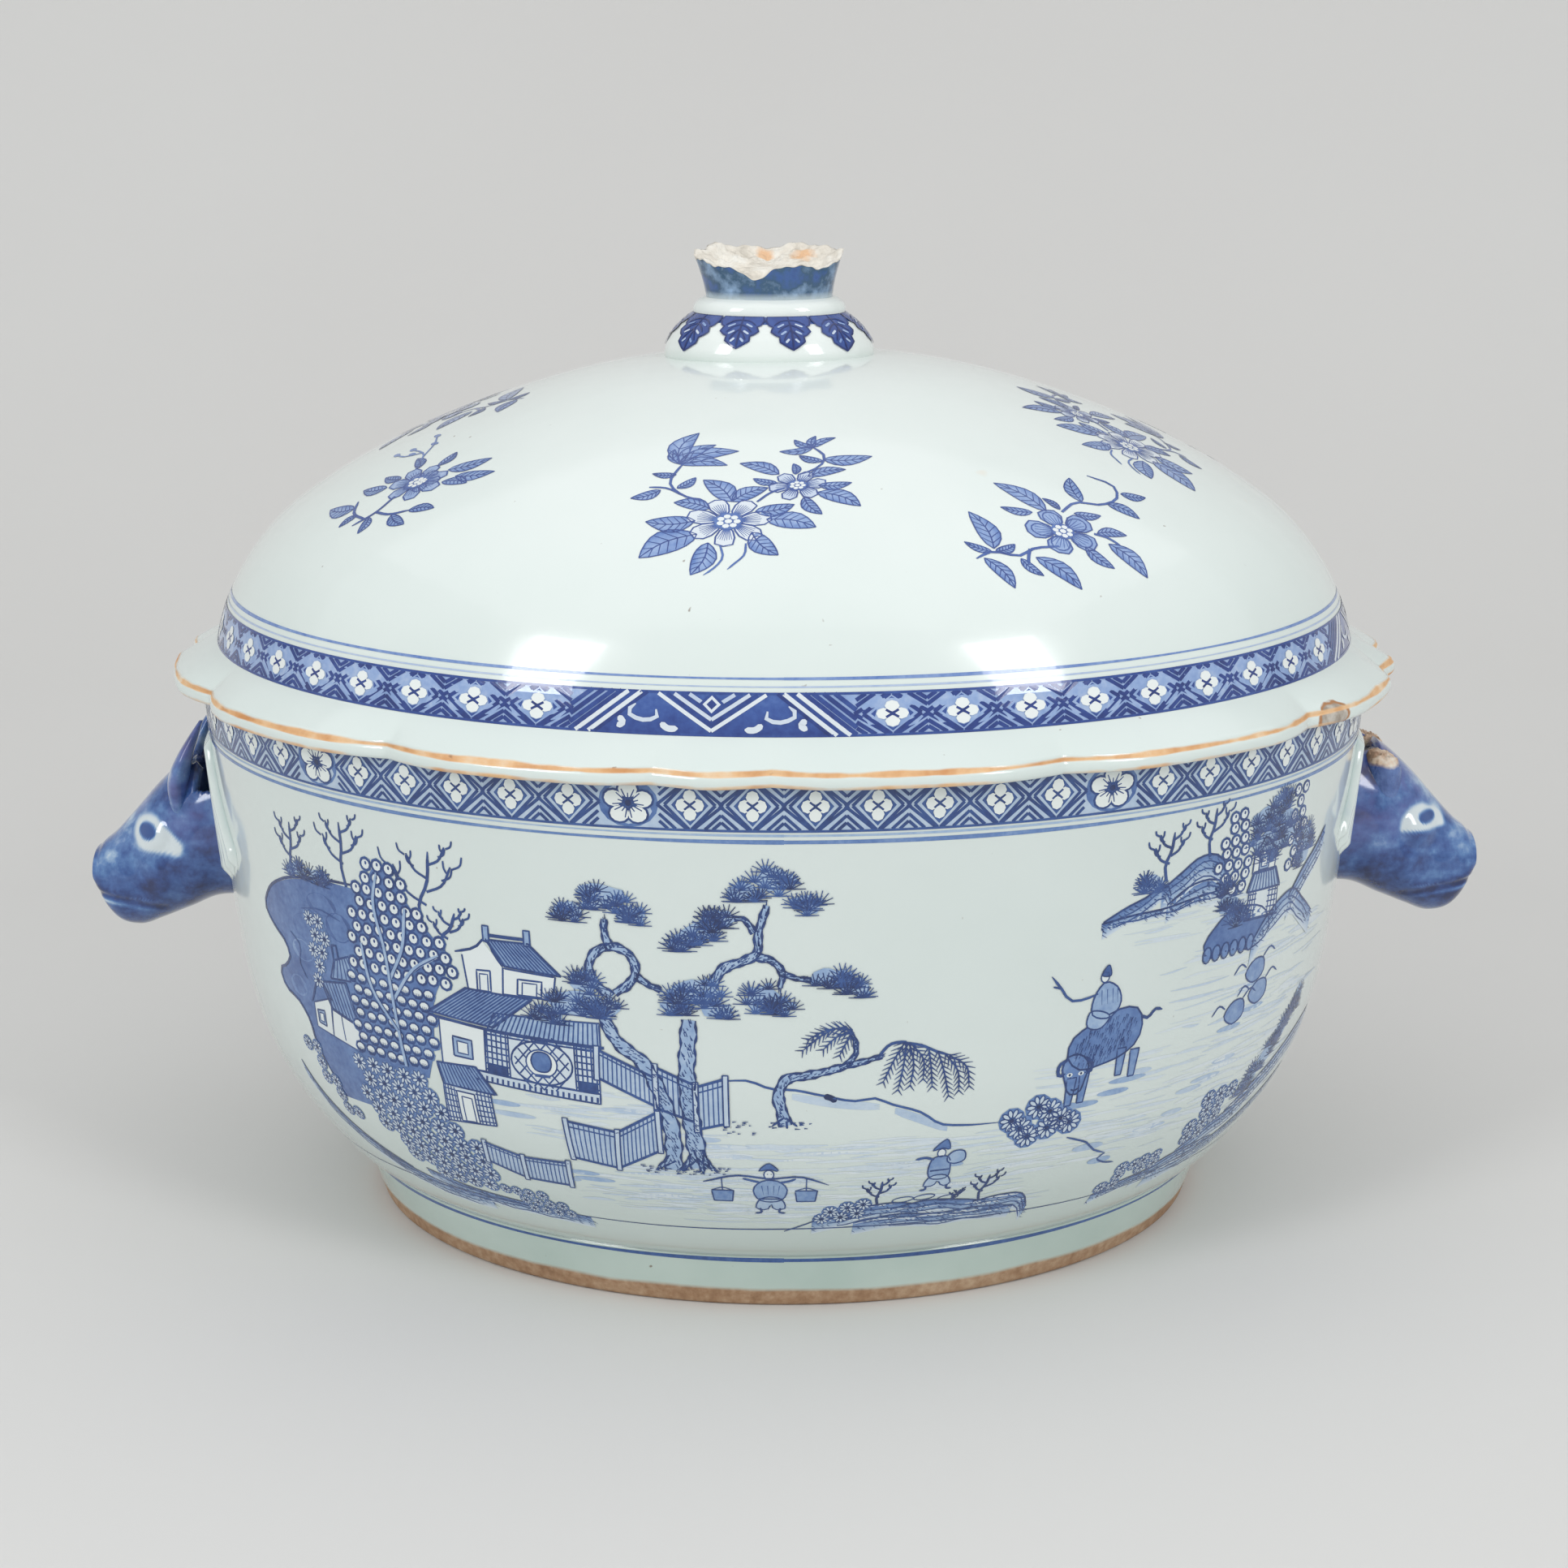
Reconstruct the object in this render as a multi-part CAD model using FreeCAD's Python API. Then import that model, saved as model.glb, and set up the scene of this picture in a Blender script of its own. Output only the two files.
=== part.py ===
import FreeCAD, Part
import math
import os

# An oval porcelain soup tureen: a bowl on a foot ring with a boar's head at each end,
# and a domed cover with a bud knob.  +Z is up, +X runs through the right hand head, and
# the origin is on the table, under the middle of the bowl.  Every measure is in millimetres.
# Oval pieces are turned round first and then pressed to the oval, so a radius below is
# half of the piece's length.

# ---- driving dimensions ----
PLAN_RATIO = 0.818        # depth over length of the bowl, the foot and the cover
FOOT_HEIGHT = 15.7        # table to the line where the bowl starts
FOOT_EDGE_RADIUS = 115.6  # outside of the foot where it rests
FOOT_TOP_RADIUS = 120.4   # outside of the foot under the bowl
FOOT_INNER_RADIUS = 108.5
FOOT_ROUNDING = 1.8       # worn corners of the unglazed edge
BOWL_FLOOR_RISE = 2.2     # how much the underside sinks towards the middle
BOWL_WALL = 5.0
BOWL_RIM_RADIUS = 158.6   # outside of the bowl just under its rim
BOWL_RIM_HEIGHT = 152.4   # top of the bowl's rounded rim

BRIM_RADIUS = 166.0       # crest of the cover's lobed edge
BRIM_NOTCH = 3.6          # how far each notch cuts in
BRIM_HOLLOW = 2.6         # how far the edge dips beside a point
BRIM_POINT = 1.2          # how far each point stands out
BRIM_TURN = -6.0          # degrees that the lobes are turned from the long axis
BRIM_EDGE_TOP = 152.2     # height of the brim's upper corner
BRIM_EDGE_BOTTOM = 148.8  # height of the brim's lower corner
DOME_FOOT_RADIUS = 153.8  # where the dome meets the brim
DOME_FOOT_HEIGHT = 159.1
COVER_WALL = 4.4
FLANGE_RADIUS = 150.4     # outside of the ring that drops inside the bowl
FLANGE_WALL = 4.2
FLANGE_BOTTOM = 142.0

KNOB_OFFSET = -3.9        # the knob sits a little left of the middle
KNOB_RATIO = 0.76         # depth over length of the knob's pieces
COLLAR_RADIUS = 27.9
COLLAR_TOP = 244.0
BEAD_RADIUS = 19.6
BEAD_TOP = 248.2
BUD_NECK_RADIUS = 16.8
BUD_LIP_RADIUS = 20.2
BUD_TOP = 261.8

PANEL_THICKNESS = 2.2     # the fluted panel behind each head
PANEL_ANGLE = 22.5        # degrees each side of the long axis
PANEL_TOP = 134.0
PANEL_STEPS = 6           # points that fit the panel to the bowl's outside
LEFT_PANEL_BOTTOM = 92.0
RIGHT_HEAD_LIFT = 4.2     # the right hand head was set on this much higher
HEAD_WALL = 3.2
VENT_DEPTH = 165.6        # the head is open on top from the panel out to here
VENT_FLOOR = 111.5
EAR_SPREAD = 10.5         # each ear's distance from the middle of the head

# ---- outlines: (radius, height) ----
BOWL_OUTSIDE = [
    (FOOT_TOP_RADIUS, FOOT_HEIGHT),
    (125.8, 20.0),
    (132.2, 27.5),
    (139.5, 38.0),
    (145.4, 50.0),
    (149.7, 65.0),
    (152.7, 85.0),
    (155.3, 110.0),
    (157.5, 136.7),
    (BOWL_RIM_RADIUS, BOWL_RIM_HEIGHT - BOWL_WALL / 2),
]
DOME_OUTSIDE = [
    (DOME_FOOT_RADIUS, DOME_FOOT_HEIGHT),
    (152.3, 165.0),
    (149.6, 172.0),
    (145.0, 180.0),
    (136.6, 190.0),
    (123.4, 200.0),
    (105.6, 210.0),
    (87.4, 218.0),
    (70.5, 224.0),
    (53.0, 229.0),
    (32.0, 232.6),
    (0.0, 234.0),
]

# ---- a boar's head: (distance out, lowest, highest, half width) ----
HEAD_SECTIONS = [
    (148.0, 83.5, 131.0, 18.5),
    (158.0, 82.5, 126.2, 18.0),
    (166.0, 79.2, 121.6, 17.0),
    (174.0, 75.9, 114.6, 15.0),
    (181.0, 73.6, 106.8, 12.8),
    (186.5, 75.6, 100.6, 10.6),
    (190.6, 83.0, 96.4, 9.0),
    (193.2, 88.4, 94.4, 6.6),
]


def point(x, y, z):
    return FreeCAD.Vector(x, y, z)


def smooth(outline):
    """One curve through every point of an outline, in the XZ plane."""
    curve = Part.BSplineCurve()
    curve.interpolate([point(r, 0, z) for r, z in outline])
    return curve


def line(start, end):
    return Part.LineSegment(point(start[0], 0, start[1]), point(end[0], 0, end[1])).toShape()


def path(corners):
    """Straight edges from each corner to the next."""
    return [line(a, b) for a, b in zip(corners, corners[1:])]


def moved_square(outline, distance):
    """The outline moved square to itself: to its left for a positive distance."""
    curve = smooth(outline)
    moved = []
    for r, z in outline:
        along = curve.tangent(curve.parameter(point(r, 0, z)))[0]
        moved.append((r - distance * along.z, z + distance * along.x))
    return moved


def pressed(shape, ratio):
    """A round shape squeezed along Y."""
    squeeze = FreeCAD.Matrix()
    squeeze.A22 = ratio
    return shape.transformGeometry(squeeze)


def turned(edges, angle=360.0, start=0.0):
    """The closed half section swept about +Z."""
    face = Part.Face(Part.Wire(Part.sortEdges(edges)[0]))
    face.rotate(point(0, 0, 0), point(0, 0, 1), start)
    return face.revolve(point(0, 0, 0), point(0, 0, 1), angle)


def underside_height(radius):
    """Height of the bowl's underside, which sinks a little towards the middle."""
    return FOOT_HEIGHT - BOWL_FLOOR_RISE * (1 - radius / FOOT_TOP_RADIUS)


def bowl_end(bottom):
    """The right hand end of the bowl, with the thickness of its panel, for trimming a head."""
    inner = panel_line(bottom)
    outer = moved_square(inner, -PANEL_THICKNESS)
    low = (inner[0][0], 60.0)
    top = (BOWL_RIM_RADIUS, BOWL_RIM_HEIGHT - BOWL_WALL / 2)
    corners = [outer[-1], inner[-1], top, (110.0, top[1]), (110.0, low[1]), low, inner[0], outer[0]]
    edges = [smooth(outer).toShape()] + path(corners)
    return pressed(turned(edges, 2 * PANEL_ANGLE, -PANEL_ANGLE), PLAN_RATIO)


def bowl():
    """Bowl with a wall of even thickness, a rounded rim and a nearly flat floor."""
    inside = moved_square(BOWL_OUTSIDE, BOWL_WALL)[4:]
    inside_floor = underside_height(0) + BOWL_WALL + 1.0
    inside = [(0, inside_floor), (60, inside_floor + 0.4), (100, 22.4), (122.5, 29.2)] + inside
    outer_end = BOWL_OUTSIDE[-1]
    inner_end = inside[-1]
    rim_top = point((outer_end[0] + inner_end[0]) / 2, 0, BOWL_RIM_HEIGHT)
    rim = Part.Arc(point(outer_end[0], 0, outer_end[1]), rim_top, point(inner_end[0], 0, inner_end[1]))
    underside = [inside[0], (0, underside_height(0)), BOWL_OUTSIDE[0]]
    edges = [smooth(BOWL_OUTSIDE).toShape(), rim.toShape(), smooth(inside).toShape()]
    return pressed(turned(edges + path(underside)), PLAN_RATIO)


def foot_ring():
    """Upright ring with worn corners, ground flat where it rests."""
    grinding = 1.0
    corners = [
        (FOOT_INNER_RADIUS, underside_height(FOOT_INNER_RADIUS)),
        (FOOT_INNER_RADIUS, FOOT_ROUNDING),
        (FOOT_INNER_RADIUS + FOOT_ROUNDING, 0),
        (FOOT_INNER_RADIUS + FOOT_ROUNDING, -grinding),
        (FOOT_EDGE_RADIUS - FOOT_ROUNDING, -grinding),
        (FOOT_EDGE_RADIUS - FOOT_ROUNDING, 0),
        (FOOT_EDGE_RADIUS, FOOT_ROUNDING),
        (FOOT_TOP_RADIUS, FOOT_HEIGHT),
    ]
    ring = pressed(turned(path(corners + corners[:1])), PLAN_RATIO)
    side = 3 * FOOT_EDGE_RADIUS
    return ring.cut(Part.makeBox(side, side, 2 * grinding, point(-side / 2, -side / 2, -2 * grinding)))


def panel_line(bottom):
    """Points up the bowl's outside from the panel's lower edge to its upper edge."""
    curve = smooth(BOWL_OUTSIDE)
    points = []
    for step in range(PANEL_STEPS + 1):
        height = bottom + (PANEL_TOP - bottom) * step / PANEL_STEPS
        level = Part.LineSegment(point(100, 0, height), point(170, 0, height))
        points.append((curve.intersect(level)[0].X, height))
    return points


def handle_panel(bottom):
    """Thin curved panel luted on the bowl behind a head."""
    inner = panel_line(bottom)
    outer = moved_square(inner, -PANEL_THICKNESS)
    edges = [smooth(inner).toShape(), smooth(outer).toShape()]
    edges += [line(inner[0], outer[0]), line(inner[-1], outer[-1])]
    return pressed(turned(edges, 2 * PANEL_ANGLE, -PANEL_ANGLE), PLAN_RATIO)


def head_ring(distance, low, high, half_width):
    """One upright rounded section of a head."""
    middle = (low + high) / 2
    half_height = (high - low) / 2
    corners = []
    for step in range(16):
        angle = step * math.tau / 16
        across = math.copysign(abs(math.cos(angle)) ** 0.85, math.cos(angle))
        corners.append(point(distance, half_width * across, middle + half_height * math.sin(angle)))
    ring = Part.BSplineCurve()
    ring.interpolate(Points=corners, PeriodicFlag=True)
    return Part.Wire(ring.toShape())


def head_block(inset=0.0):
    """The head's outer form, or with an inset the hollow that follows it inside."""
    rings = []
    for distance, low, high, half_width in HEAD_SECTIONS:
        if inset and high - low < 4 * inset:
            continue
        rings.append(head_ring(distance, low + inset, high - inset, half_width - inset))
    return Part.makeLoft(rings, True, False)


def raised(shape, lift):
    placed = shape.copy()
    placed.translate(point(0, 0, lift))
    return placed


def largest(shape):
    return max(shape.Solids, key=lambda solid: solid.Volume)


def boar_head(lift, behind):
    """Hollow pressed head, open at the back and on top behind the ears."""
    vent = Part.makeBox(VENT_DEPTH - 140, 60, 40, point(140, -30, VENT_FLOOR))
    shell = head_block().cut(head_block(HEAD_WALL)).cut(vent)
    return largest(raised(shell, lift).cut(behind))


def ear_section(out, across, height, half_thick, half_wide):
    """One level section of an ear."""
    edge = Part.Circle(point(0, 0, 0), point(0, 0, 1), 1.0).toShape()
    grow = FreeCAD.Matrix()
    grow.A11 = half_thick
    grow.A22 = half_wide
    wire = Part.Wire(edge.transformGeometry(grow))
    wire.translate(point(out, across, height))
    return wire


def whole_ear(across):
    """Pointed ear that leans back from the crown to the bowl's rim."""
    levels = [
        (166.0, 108.0, 2.4, 4.6),
        (166.0, 116.0, 2.5, 5.4),
        (165.4, 122.0, 2.4, 5.6),
        (162.6, 128.4, 1.8, 3.8),
        (159.9, 134.0, 0.8, 1.2),
    ]
    rings = [ear_section(out, across, height, thick, wide) for out, height, thick, wide in levels]
    return Part.makeLoft(rings, True, False)


def broken_ear(across):
    """Stump of an ear that reached back to the bowl, snapped off at the crown."""
    levels = [(164.0, 106.0, 3.2, 4.6), (164.0, 113.0, 4.6, 5.4), (163.6, 120.4, 4.2, 5.0)]
    rings = [ear_section(out, across, height, thick, wide) for out, height, thick, wide in levels]
    stump = Part.makeLoft(rings, True, False)
    break_plane = Part.makeBox(40, 40, 20, point(150, across - 20, 119.0))
    break_plane.rotate(point(164, across, 119.0), point(0, 1, 0), -9)
    return stump.cut(break_plane)


def trimmed(ear, lift, behind):
    """An ear put in place and cut to what it is stuck on."""
    return largest(raised(ear.cut(head_block()), lift).cut(behind))


def brim_radius(angle):
    """Edge of the brim at an angle in degrees: points at each quarter, notches between them."""
    quarter = angle % 90.0
    from_point = min(quarter, 90.0 - quarter)
    radius = BRIM_RADIUS
    radius -= BRIM_NOTCH * max(0.0, 1 - abs(from_point - 30.0) / 9.0) ** 1.5
    radius -= BRIM_HOLLOW * max(0.0, 1 - abs(from_point - 5.5) / 5.5) ** 1.2
    radius += BRIM_POINT * max(0.0, 1 - from_point / 3.0)
    return radius


def brim_outline():
    """The lobed edge: one smooth curve from each point or notch to the next."""
    sharp = [0.0, 30.0, 60.0]
    corners = [quarter * 90.0 + angle for quarter in range(4) for angle in sharp] + [360.0]
    edges = []
    for start, end in zip(corners, corners[1:]):
        points = []
        for step in range(11):
            angle = start + (end - start) * step / 10
            turn = math.radians(angle + BRIM_TURN)
            radius = brim_radius(angle)
            points.append(point(radius * math.cos(turn), radius * math.sin(turn), 0))
        curve = Part.BSplineCurve()
        curve.interpolate(points)
        edges.append(curve.toShape())
    return Part.Wire(edges)


def lid_dome():
    """Domed cover with a sloping lobed brim, open underneath."""
    inside = moved_square(DOME_OUTSIDE[1:-1], COVER_WALL) + [(0, DOME_OUTSIDE[-1][1] - COVER_WALL)]
    widest = BRIM_RADIUS + BRIM_POINT + 1.0
    slope = (DOME_FOOT_HEIGHT - BRIM_EDGE_TOP) / (BRIM_RADIUS - DOME_FOOT_RADIUS)
    drop = slope * (widest - BRIM_RADIUS)
    brim = [
        DOME_OUTSIDE[0],
        (widest, BRIM_EDGE_TOP - drop),
        (widest, BRIM_EDGE_BOTTOM - drop),
        (FLANGE_RADIUS, 155.6),
        inside[0],
    ]
    edges = [smooth(DOME_OUTSIDE).toShape(), smooth(inside).toShape()]
    edges += path(brim) + [line(inside[-1], DOME_OUTSIDE[-1])]
    outline = brim_outline()
    outline.translate(point(0, 0, BRIM_EDGE_BOTTOM - 20))
    inside_edge = Part.Face(outline).extrude(point(0, 0, 120))
    return pressed(turned(edges).common(inside_edge), PLAN_RATIO)


def lid_flange(dome):
    """Locating ring under the cover, which drops inside the bowl."""
    corners = [
        (FLANGE_RADIUS, 158.0),
        (FLANGE_RADIUS, FLANGE_BOTTOM + 1.0),
        (FLANGE_RADIUS - 1.0, FLANGE_BOTTOM),
        (FLANGE_RADIUS - FLANGE_WALL + 1.0, FLANGE_BOTTOM),
        (FLANGE_RADIUS - FLANGE_WALL, FLANGE_BOTTOM + 1.0),
        (FLANGE_RADIUS - FLANGE_WALL, 158.0),
    ]
    ring = pressed(turned(path(corners + corners[:1])), PLAN_RATIO).cut(dome)
    return min(ring.Solids, key=lambda solid: solid.BoundBox.ZMin)


def knob_turned(edges):
    """A piece of the knob: turned, pressed to its own oval and set over its own middle."""
    shape = pressed(turned(edges), KNOB_RATIO)
    shape.translate(point(KNOB_OFFSET, 0, 0))
    return shape


def finial_collar(dome):
    """Low swelling collar that carries the leaves, luted on top of the dome."""
    side = [(COLLAR_RADIUS, 231.5), (27.6, 234.5), (24.8, 239.0), (20.0, COLLAR_TOP)]
    rest = [side[-1], (0, COLLAR_TOP), (0, 231.0), (COLLAR_RADIUS, 231.0), side[0]]
    collar = knob_turned([smooth(side).toShape()] + path(rest)).cut(dome)
    return max(collar.Solids, key=lambda solid: solid.BoundBox.ZMax)


def finial_bead():
    """Plain rounded ring between the collar and the bud."""
    middle = (COLLAR_TOP + BEAD_TOP) / 2
    low = point(BEAD_RADIUS - 1.6, 0, COLLAR_TOP)
    high = point(BEAD_RADIUS - 1.6, 0, BEAD_TOP)
    edges = [Part.Arc(low, point(BEAD_RADIUS, 0, middle), high).toShape()]
    edges += path([(high.x, BEAD_TOP), (0, BEAD_TOP), (0, COLLAR_TOP), (low.x, COLLAR_TOP)])
    return knob_turned(edges)


def finial_bud():
    """Flaring bud whose top is broken away to a ragged, dished stump."""
    side = [(BUD_NECK_RADIUS, BEAD_TOP), (17.4, 252.0), (BUD_LIP_RADIUS - 0.6, 258.0), (BUD_LIP_RADIUS, BUD_TOP)]
    dish = [(BUD_LIP_RADIUS - 2.4, BUD_TOP), (13.0, 256.4), (0, 254.6)]
    edges = [smooth(side).toShape(), line(side[-1], dish[0]), smooth(dish).toShape()]
    edges += path([dish[-1], (0, BEAD_TOP), side[0]])
    bud = knob_turned(edges)
    front_break = Part.makeBox(80, 30, 20, point(-40, -30, 257.4))
    chip = Part.makeCylinder(9.0, 30, point(-6.5, -30, 261.0), point(0, 1, 0))
    whole = bud.cut(front_break).cut(chip)
    return max(whole.Solids, key=lambda solid: solid.Volume)


def handle_parts(lift, ear):
    """One whole handle at the right hand end: panel, head, and the ears or their stumps."""
    bottom = LEFT_PANEL_BOTTOM + 2 * lift
    behind = bowl_end(bottom)
    return {
        "handle_panel": handle_panel(bottom),
        "boar_head": boar_head(lift, behind),
        "near": trimmed(ear(-EAR_SPREAD), lift, behind),
        "far": trimmed(ear(EAR_SPREAD), lift, behind),
    }


def tureen_parts():
    """Bowl, foot and both handles; the left hand one is turned about to its own end."""
    parts = {"bowl": bowl(), "foot_ring": foot_ring()}
    right = handle_parts(RIGHT_HEAD_LIFT, broken_ear)
    parts["right_handle_panel"] = right["handle_panel"]
    parts["right_boar_head"] = right["boar_head"]
    parts["right_front_broken_ear"] = right["near"]
    parts["right_back_broken_ear"] = right["far"]
    left = handle_parts(0.0, whole_ear)
    for piece in left.values():
        piece.rotate(point(0, 0, 0), point(0, 0, 1), 180)
    parts["left_handle_panel"] = left["handle_panel"]
    parts["left_boar_head"] = left["boar_head"]
    parts["left_back_ear"] = left["near"]
    parts["left_front_ear"] = left["far"]
    return parts


def cover_parts():
    dome = lid_dome()
    return {
        "lid_dome": dome,
        "lid_flange": lid_flange(dome),
        "finial_collar": finial_collar(dome),
        "finial_bead": finial_bead(),
        "finial_bud": finial_bud(),
    }


os.makedirs("parts", exist_ok=True)
for node, shape in {**tureen_parts(), **cover_parts()}.items():
    box = shape.optimalBoundingBox(False)
    low = f"{box.XMin:.1f} {box.YMin:.1f} {box.ZMin:.1f}"
    high = f"{box.XMax:.1f} {box.YMax:.1f} {box.ZMax:.1f}"
    print(f"{node}: {len(shape.Solids)} solid, {shape.Volume / 1000:.1f} cm3, from {low} to {high}")
    shape.exportStep(f"parts/{node}.step")
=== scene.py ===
# %% [markdown]
# # A painted porcelain tureen
#
# The real pot is an oval bowl on a foot ring, with a hollow boar's head luted on at each
# end, and a domed cover with a lobed brim.  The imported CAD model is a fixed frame: it
# says where every piece is and how big it is.  The cells below build the finer surfaces
# that the eye sees around that frame, glaze them, and then paint them stroke by stroke.

# %% Load the frame
import bmesh
import bpy
import math
import numpy as np
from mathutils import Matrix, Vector


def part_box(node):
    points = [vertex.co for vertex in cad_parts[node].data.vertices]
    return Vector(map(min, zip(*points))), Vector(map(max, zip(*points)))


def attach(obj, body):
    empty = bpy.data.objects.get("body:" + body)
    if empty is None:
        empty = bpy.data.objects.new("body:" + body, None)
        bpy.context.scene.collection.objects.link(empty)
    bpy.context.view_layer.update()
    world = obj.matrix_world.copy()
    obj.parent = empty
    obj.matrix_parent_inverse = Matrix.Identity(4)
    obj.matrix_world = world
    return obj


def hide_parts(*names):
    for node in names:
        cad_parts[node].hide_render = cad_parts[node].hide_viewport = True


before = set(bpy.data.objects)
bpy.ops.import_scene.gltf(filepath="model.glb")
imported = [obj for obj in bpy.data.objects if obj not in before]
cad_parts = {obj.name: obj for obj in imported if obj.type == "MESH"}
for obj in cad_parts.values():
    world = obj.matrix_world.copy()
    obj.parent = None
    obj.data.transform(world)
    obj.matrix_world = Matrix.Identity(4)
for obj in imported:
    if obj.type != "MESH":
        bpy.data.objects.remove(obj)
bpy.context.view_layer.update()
MM = 0.001

# %% [markdown]
# Lengths come from the frame.  The bowl, the foot and the cover are all ovals of one
# shape, so one ratio, depth over length, is read from the bowl's own box.  Outlines are
# kept as shares of the box they belong to, and a smooth line is drawn through them.

# %% Measures of the pot
bowl_low, bowl_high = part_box("bowl")
cover_low, cover_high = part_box("lid_dome")
foot_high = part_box("foot_ring")[1]
HALF = bowl_high.x
RATIO = bowl_high.y / bowl_high.x
RIM_TOP = bowl_high.z
COVER_HALF = cover_high.x
COVER_TOP = cover_high.z
FOOT_TOP = foot_high.z
print(f"bowl half length {HALF:.4f}, ratio {RATIO:.3f}, rim {RIM_TOP:.4f}, cover top {COVER_TOP:.4f}")

# Shares of (half length, height) up the outside of the bowl and down the outside of the dome.
BOWL_OUTLINE = [(0.759, 0.103), (0.793, 0.131), (0.8335, 0.1804), (0.8796, 0.2493), (0.9168, 0.3281),
                (0.9439, 0.4265), (0.9628, 0.5577), (0.9792, 0.7218), (0.9931, 0.897), (1.0, 0.9836)]
DOME_OUTLINE = [(0.0, 1.0), (0.1, 0.9984), (0.1924, 0.994), (0.3187, 0.9786), (0.4239, 0.9573),
                (0.5256, 0.9316), (0.635, 0.8974), (0.742, 0.8547), (0.8214, 0.812),
                (0.8719, 0.7692), (0.8996, 0.735), (0.9158, 0.7051), (0.9248, 0.6799)]


def smooth_line(points, count, closed=False):
    """Points evenly spaced along a smooth curve through the given ones.

    Each span is a cubic whose slope at a point is that of the chord joining its two
    neighbours, with distance along the chords as the parameter.
    """
    p = np.array(points, float)
    if closed:
        p = np.vstack([p[-1:], p, p[:2]])
    step = np.linalg.norm(np.diff(p, axis=0), axis=1)
    at = np.concatenate([[0.0], np.cumsum(step)])
    slope = np.gradient(p, at, axis=0)
    first, last = (at[1], at[-2]) if closed else (at[0], at[-1])
    t = np.linspace(first, last, 12 * len(p))
    k = np.clip(np.searchsorted(at, t, side="right") - 1, 0, len(step) - 1)
    h = step[k][:, None]
    s = ((t - at[k]) / step[k])[:, None]
    fine = ((2 * s**3 - 3 * s**2 + 1) * p[k] + (s**3 - 2 * s**2 + s) * h * slope[k]
            + (3 * s**2 - 2 * s**3) * p[k + 1] + (s**3 - s**2) * h * slope[k + 1])
    run = np.concatenate([[0.0], np.cumsum(np.linalg.norm(np.diff(fine, axis=0), axis=1))])
    want = np.linspace(0, run[-1], count)
    return np.stack([np.interp(want, run, fine[:, c]) for c in range(p.shape[1])], axis=1)


def moved_in(line, distance):
    """The line moved square to itself, to the left of its own direction."""
    along = np.gradient(line, axis=0)
    along /= np.linalg.norm(along, axis=1)[:, None]
    return line + distance * np.stack([-along[:, 1], along[:, 0]], axis=1)


def blend(a, b, x):
    """0 below a, 1 above b, and an S-shaped rise between."""
    s = np.clip((x - a) / (b - a), 0, 1)
    return s * s * (3 - 2 * s)


# %% [markdown]
# Every turned piece is the same idea: a half section is carried round the axis on a grid
# of (place along the section, angle), and the depth is pressed by the oval's ratio.  A
# section that starts or ends on the axis is closed there by one shared point, so there
# is no ring of doubled vertices at the pole.  A section that is a loop is joined to itself.

# %% Meshes from grids
def grid_quads(rows, columns, wrap_rows=False, wrap_columns=True):
    """Corner numbers of the quads on a grid, with either direction joined to its start."""
    r = np.arange(rows if wrap_rows else rows - 1)
    c = np.arange(columns if wrap_columns else columns - 1)
    r, c = np.meshgrid(r, c, indexing="ij")
    r2 = (r + 1) % rows
    c2 = (c + 1) % columns
    return np.stack([r * columns + c, r * columns + c2, r2 * columns + c2, r2 * columns + c],
                    -1).reshape(-1, 4)


def make_piece(name, points, faces, marks=None, fans=()):
    """A mesh object from arrays; marks are named numbers on the vertices."""
    mesh = bpy.data.meshes.new(name)
    everything = [list(f) for f in faces.tolist()] + [list(f) for f in fans]
    mesh.from_pydata(points.reshape(-1, 3).tolist(), [], everything)
    for key, values in (marks or {}).items():
        layer = mesh.attributes.new(key, "FLOAT", "POINT")
        layer.data.foreach_set("value", np.asarray(values, np.float32).ravel())
    mesh.polygons.foreach_set("use_smooth", np.ones(len(mesh.polygons), bool))
    mesh.update()
    piece = bpy.data.objects.new(name, mesh)
    bpy.context.scene.collection.objects.link(piece)
    return piece


def face_out(piece):
    """Turns every face of a closed mesh to the outside."""
    form = bmesh.new()
    form.from_mesh(piece.data)
    bmesh.ops.remove_doubles(form, verts=form.verts, dist=1e-7)
    bmesh.ops.recalc_face_normals(form, faces=form.faces)
    form.to_mesh(piece.data)
    form.free()
    return piece


def dress(piece, material, node, body):
    """Gives a piece its finish, and puts it in the place of the node it stands for."""
    piece.data.materials.append(material)
    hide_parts(node)
    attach(piece, body)


def turned_piece(name, radius, height, ratio, loop=False, marks=None, centre=(0.0, 0.0)):
    """Carries a half section round +Z: x = r sin a, y = -ratio r cos a, z = height.

    radius and height are grids of (section, angle).  Where the section's end lies on the
    axis, its row becomes one point with a fan of triangles.
    """
    rows, columns = radius.shape
    angle = np.linspace(0, 2 * np.pi, columns, endpoint=False)[None, :]
    x = centre[0] + radius * np.sin(angle)
    y = centre[1] - ratio * radius * np.cos(angle)
    points = np.stack([x, y, height], -1).reshape(-1, 3)
    faces = grid_quads(rows, columns, wrap_rows=loop)
    fans = []
    extra = {k: np.asarray(v, float).reshape(rows, columns) for k, v in (marks or {}).items()}
    tails = {k: [] for k in extra}
    for row in () if loop else (0, rows - 1):
        pole = len(points)
        points = np.vstack([points, [[centre[0], centre[1], height[row].mean()]]])
        ring = row * columns + np.arange(columns)
        turn = np.roll(ring, -1)
        fans += [(pole, b, a) if row else (pole, a, b) for a, b in zip(ring.tolist(), turn.tolist())]
        for k in extra:
            tails[k].append(extra[k][row].mean())
    full = {k: np.concatenate([extra[k].ravel(), tails[k]]) for k in extra}
    return face_out(make_piece(name, points, faces, full, fans))

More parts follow.
